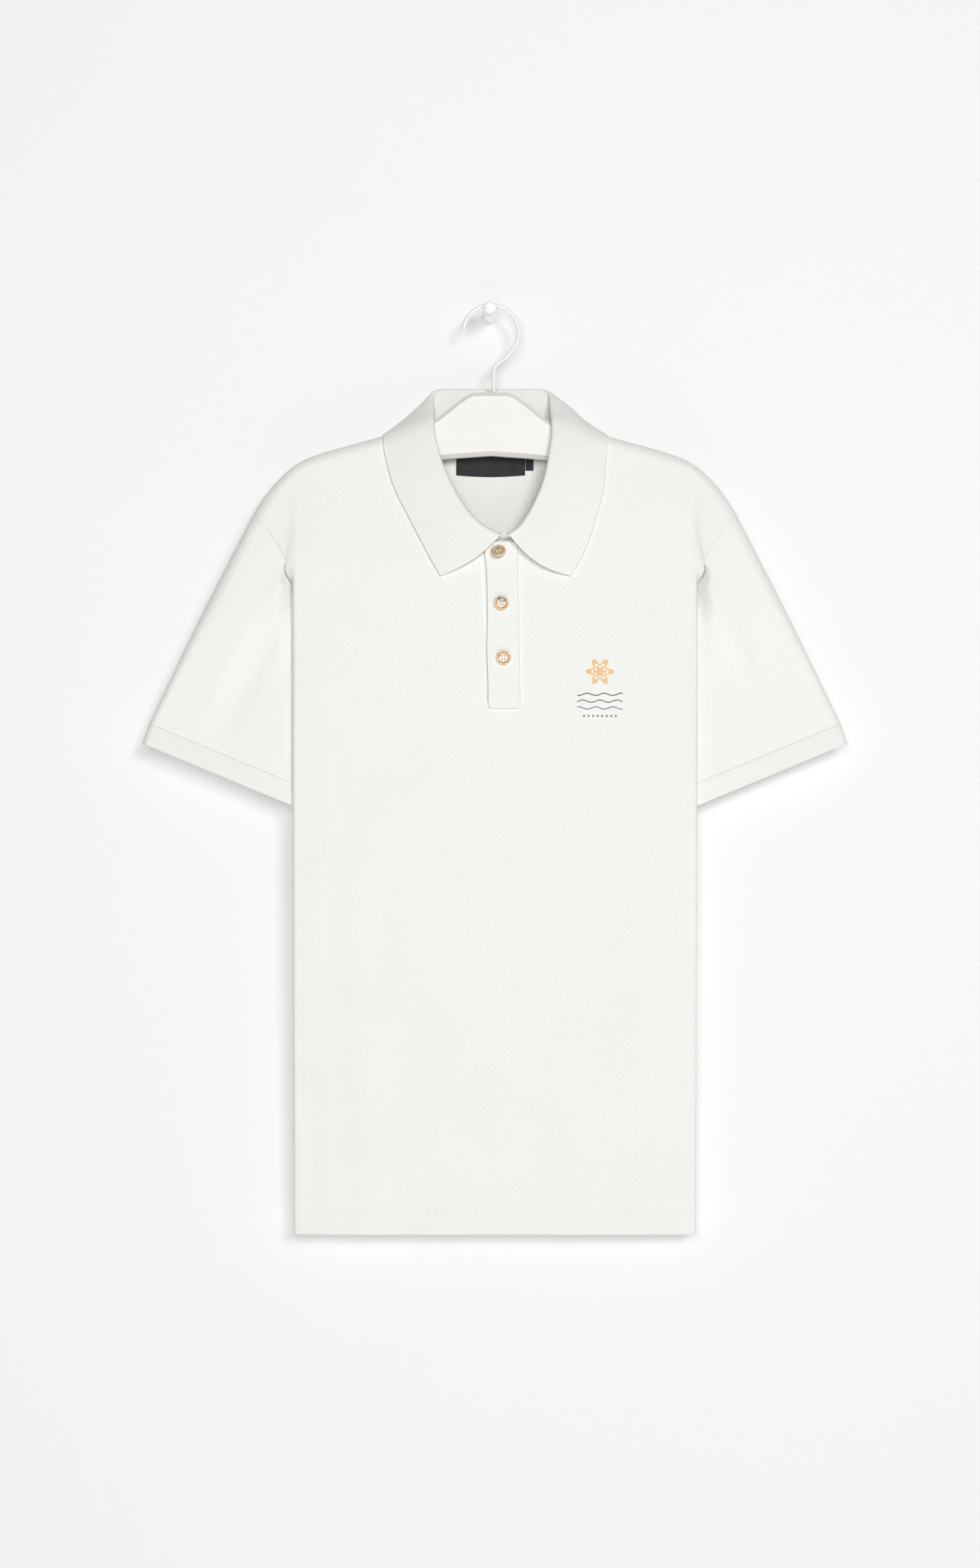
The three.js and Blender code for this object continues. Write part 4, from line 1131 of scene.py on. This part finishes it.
# Left, right, top, bottom and sag of each
labelSizes = dict(neck_label=(-34.4, 27, -116, -144.2, 1.5), size_tab=(27.4, 34.5, -128, -140, 0))
labelThickness = 0.8
for name, (left, right, top, low, sag) in labelSizes.items():
    offset = clothThickness / 2 + seamGap + labelThickness / 2
    xs = edgedSteps(left, right, 0.5, 1.5, 3)
    points, flats = [], []
    for down in edgedSteps(0, top - low, 0.5, 1.5, 3):
        row = []
        for x in xs:
            z = top - down - sag * down / (top - low) * sin(pi * (x - left) / (right - left))
            p = onBack(x, z)
            p.y -= offset
            row.append(p)
        points.append(row)
        flats.append([(x, down) for x in xs])
    clothPiece("polo_" + name, points, flats, labelMaterial, "label", name,
                                   labelThickness)
print("plackets, buttons and labels made")


hanger = dict(x=-1, thickness=13, bevel=3.5, shift=-2.4)
hangerTop = [(0, -73), (15, -73), (26, -78.5), (54, -99.8), (75, -108.6), (97, -114.6), (128, -122.4),
             (152, -130)]
hangerBottom = [(140, -152), (97, -142), (50, -133), (0, -128.8)]
hangerEnd = dict(x=163, z=-148, radius=13.5)


# The middle of the bar stands a little left of its ends
def middleShift(x):
    return hanger["shift"] * (1 - smoothstep(abs(x), 55, 100))


def hangerOutline():
    half = [(x, lookUp(hangerTop, x)) for x in stepsBetween([15, 26, 54, 97, 152], 3)]
    end = hangerEnd
    for k in range(13):
        angle = radians(lerp(62, -95, k / 12))
        half.append((end["x"] + end["radius"] * cos(angle), end["z"] + end["radius"] * sin(angle)))
    half += [(x, lookUp(hangerBottom, x)) for x in stepsBetween([140, 97, 50, 0], 5)]
    return half + [(-x, z) for x, z in half[::-1][1:]]


# The outline moved inwards by a distance, square to the line at each point
def insetOutline(outline, distance):
    out = []
    for i, (x, z) in enumerate(outline):
        (x0, z0), (x1, z1) = outline[i - 1], outline[(i + 1) % len(outline)]
        dx, dz = x1 - x0, z1 - z0
        size = hypot(dx, dz)
        out.append((x + distance * dz / size, z - distance * dx / size))
    return out


outline = [(x + middleShift(x) + hanger["x"], z) for x, z in hangerOutline()]
half = hanger["thickness"] / 2
rings = []
for y, inset in ((half, hanger["bevel"]), (half - hanger["bevel"], 0), (hanger["bevel"] - half, 0),
                 (-half, hanger["bevel"])):
    ring = insetOutline(outline, inset) if inset else outline
    rings.append([Vector((x, crestY + y, z)) for x, z in ring + ring[:1]])
bm = gridMesh(rings, [[(p.x, p.z) for p in ring] for ring in rings], closed=True)[0]
bmesh.ops.edgeloop_fill(bm, edges=[e for e in bm.edges if e.is_boundary])
bmesh.ops.recalc_face_normals(bm, faces=bm.faces)
hangerBar = finished("hanger_wood", bm, woodMaterial, "wood_paint", ["hanger_bar"])
hangerBar.data.set_sharp_from_angle(angle=radians(40))


# A smooth line through the given points
def throughPoints(points, steps):
    out = []
    last = len(points) - 1
    for i in range(last):
        p0, p1, p2, p3 = (points[clamp(k, 0, last)] for k in (i - 1, i, i + 1, i + 2))
        for k in range(steps):
            t = k / steps
            out.append(0.5 * ((2 * p1) + (p2 - p0) * t + (2 * p0 - 5 * p1 + 4 * p2 - p3) * t * t
                              + (3 * p1 - p0 - 3 * p2 + p3) * t ** 3))
    return out + [points[-1].copy()]


# The wire runs from its tip over the peg, back under it and down its shank into the bar
hook = dict(radius=24.5, wire=1.7, pegNeck=3.4, y=-30, centreX=0.9, sides=20, tipAngle=178, lastAngle=-38,
            tail=[(13.8, -41.6), (7.2, -46.8), (4.3, -50), (3.4, -54), (3.4, -63), (3.4, -72.4)])


def hookPath():
    top = hook["pegNeck"] + hook["wire"] + seamGap
    centre = Vector((hook["centreX"], hook["y"], top - hook["radius"]))
    points = []
    for k in range(37):
        angle = radians(lerp(hook["tipAngle"], hook["lastAngle"], k / 36))
        points.append(centre + Vector((cos(angle), 0, sin(angle))) * hook["radius"])
    return throughPoints(points + [Vector((x, hook["y"], z)) for x, z in hook["tail"]], 4)


path = hookPath()
places = alongLine(path)
last = len(path) - 1
turns = [2 * pi * k / hook["sides"] for k in range(hook["sides"] + 1)]
points = []
for i, p in enumerate(path):
    way = (path[clamp(i + 1, 0, last)] - path[clamp(i - 1, 0, last)]).normalized()
    side = way.cross(Vector((0, 1, 0)))
    radius = hook["wire"] * sqrt(1 - max(0, 1 - places[i] / hook["wire"]) ** 2)  # round at the tip
    points.append([p + (side * cos(t) + Vector((0, 1, 0)) * sin(t)) * radius for t in turns])
points.append([path[-1].copy() for t in turns])
flats = [[(k, places[clamp(i, 0, last)]) for k in range(len(row))] for i, row in enumerate(points)]
bm = gridMesh(points, flats, closed=True, centre=0)[0]
hangerHook = finished("hanger_wire", bm, wireMaterial, "wire_paint", ["hanger_hook"])
hangerHook.data.set_sharp_from_angle(angle=radians(50))

# Radius and distance from the wall; the head's rim is knurled
pegProfile = [(0, 0), (5.4, 0), (5.4, 16), (5.3, 18.2), (5.0, 20.5), (4.3, 23.5), (3.6, 25.6), (3.4, 27),
              (3.4, 34), (3.8, 35.6), (4.5, 37), (5.3, 38.3), (5.75, 39.4), (6.0, 40.6), (6.0, 42.6),
              (5.9, 44.0), (5.7, 45.2), (5.4, 46.2), (4.9, 47.0), (4.2, 47.6), (3.2, 47.9), (0, 48)]
knurl = dict(count=30, low=38.5, high=43.4, depth=0.16)
bm = lathe(pegProfile, knurl["count"] * 4)
for v in bm.verts:
    radius, height = hypot(v.co.x, v.co.y) / mm, v.co.z / mm
    if knurl["low"] < height < knurl["high"] and radius > 5:
        turn = atan2(v.co.y, v.co.x) * knurl["count"]
        share = 1 - knurl["depth"] * (1 + cos(turn)) / radius
        v.co.x, v.co.y = v.co.x * share, v.co.y * share
bmesh.ops.transform(bm, matrix=Matrix.Rotation(pi / 2, 4, "X"), verts=bm.verts)
pegPiece = finished("peg_knob", bm, marbleMaterial, "peg_marble", ["wall_peg"])
pegPiece.data.set_sharp_from_angle(angle=radians(50))
print("hanger, hook and peg made")


stage = dict(color=(0.945, 0.945, 0.945), glow=0.2, glowStrength=0.939, size=8, wallY=0.0006,
             floorPlace=(0, -4, -1.9))


def stageMaterialOf(name, s):
    material, tree, shader = newMaterial(name, s["color"], 0.9)
    setMottled(tree, shader, noiseAt(tree, objectPlace(tree), 3.0, 2.0), s["color"], 0.995)
    # An overexposed wall: part of its brightness is its own, so that shadows on it stay pale
    light = node(tree, "Emission", {"Color": (1, 1, 1, 1), "Strength": s["glowStrength"]})
    pale = node(tree, "MixShader", {0: s["glow"], 1: shader.outputs[0], 2: light.outputs[0]})
    clear = node(tree, "BsdfTransparent")
    behind = node(tree, "NewGeometry").outputs["Backfacing"]
    mixed = node(tree, "MixShader", {0: behind, 1: pale.outputs[0], 2: clear.outputs[0]})
    tree.links.new(mixed.outputs[0], tree.nodes["Material Output"].inputs[0])
    return material


def stagePlane(name, matrix, material):
    bm = bmesh.new()
    bmesh.ops.create_grid(bm, x_segments=4, y_segments=4, size=stage["size"] / 2, matrix=matrix)
    mesh = meshFrom(name, bm)
    mesh.materials.append(material)
    plane = addObject(name, mesh)
    return plane


stageMaterial = stageMaterialOf("plain_wall", stage)
upright = Matrix.Translation((0, stage["wallY"], 0)) @ Matrix.Rotation(pi / 2, 4, "X")
wall = stagePlane("wall", upright, stageMaterial)
wall.visible_shadow = False
stagePlane("floor", Matrix.Translation(stage["floorPlace"]), stageMaterial)

world = bpy.data.worlds.new("soft_room")
bpy.context.scene.world = world
world.use_nodes = True
world.node_tree.nodes["Background"].inputs[0].default_value = (1, 1, 1, 1)
world.node_tree.nodes["Background"].inputs[1].default_value = 0.065

lights = [
    dict(name="key", place=(1.42, -4.5, 0.88), aim=(0, 0, -0.4), size=1.2, power=80),
    dict(name="front", place=(-0.1, -3.2, -0.05), aim=(0, 0, -0.35), size=1.1, power=44),
]
for s in lights:
    data = bpy.data.lights.new(s["name"], "AREA")
    data.size, data.energy = s["size"], s["power"]
    lamp = addObject(s["name"], data)
    lamp.location = s["place"]
    lamp.rotation_mode = "QUATERNION"
    lamp.rotation_quaternion = (Vector(s["aim"]) - Vector(s["place"])).to_track_quat("-Z", "Y")

# The photograph's view: level, 2.25 m from the wall, at the height of the shirt's middle
view = dict(place=(0, -2.25, -0.42), focalPixels=3859, pictureHeight=2420, sensor=36)
cameraData = bpy.data.cameras.new("camera")
cameraData.sensor_fit = "VERTICAL"
cameraData.sensor_height = view["sensor"]
cameraData.sensor_width = view["sensor"]
cameraData.lens = view["sensor"] * view["focalPixels"] / view["pictureHeight"]
camera = addObject("camera", cameraData)
camera.location = view["place"]
camera.rotation_euler = (pi / 2, 0, 0)
bpy.context.scene.camera = camera
bpy.context.scene.view_settings.view_transform = "Standard"
print("stage made")
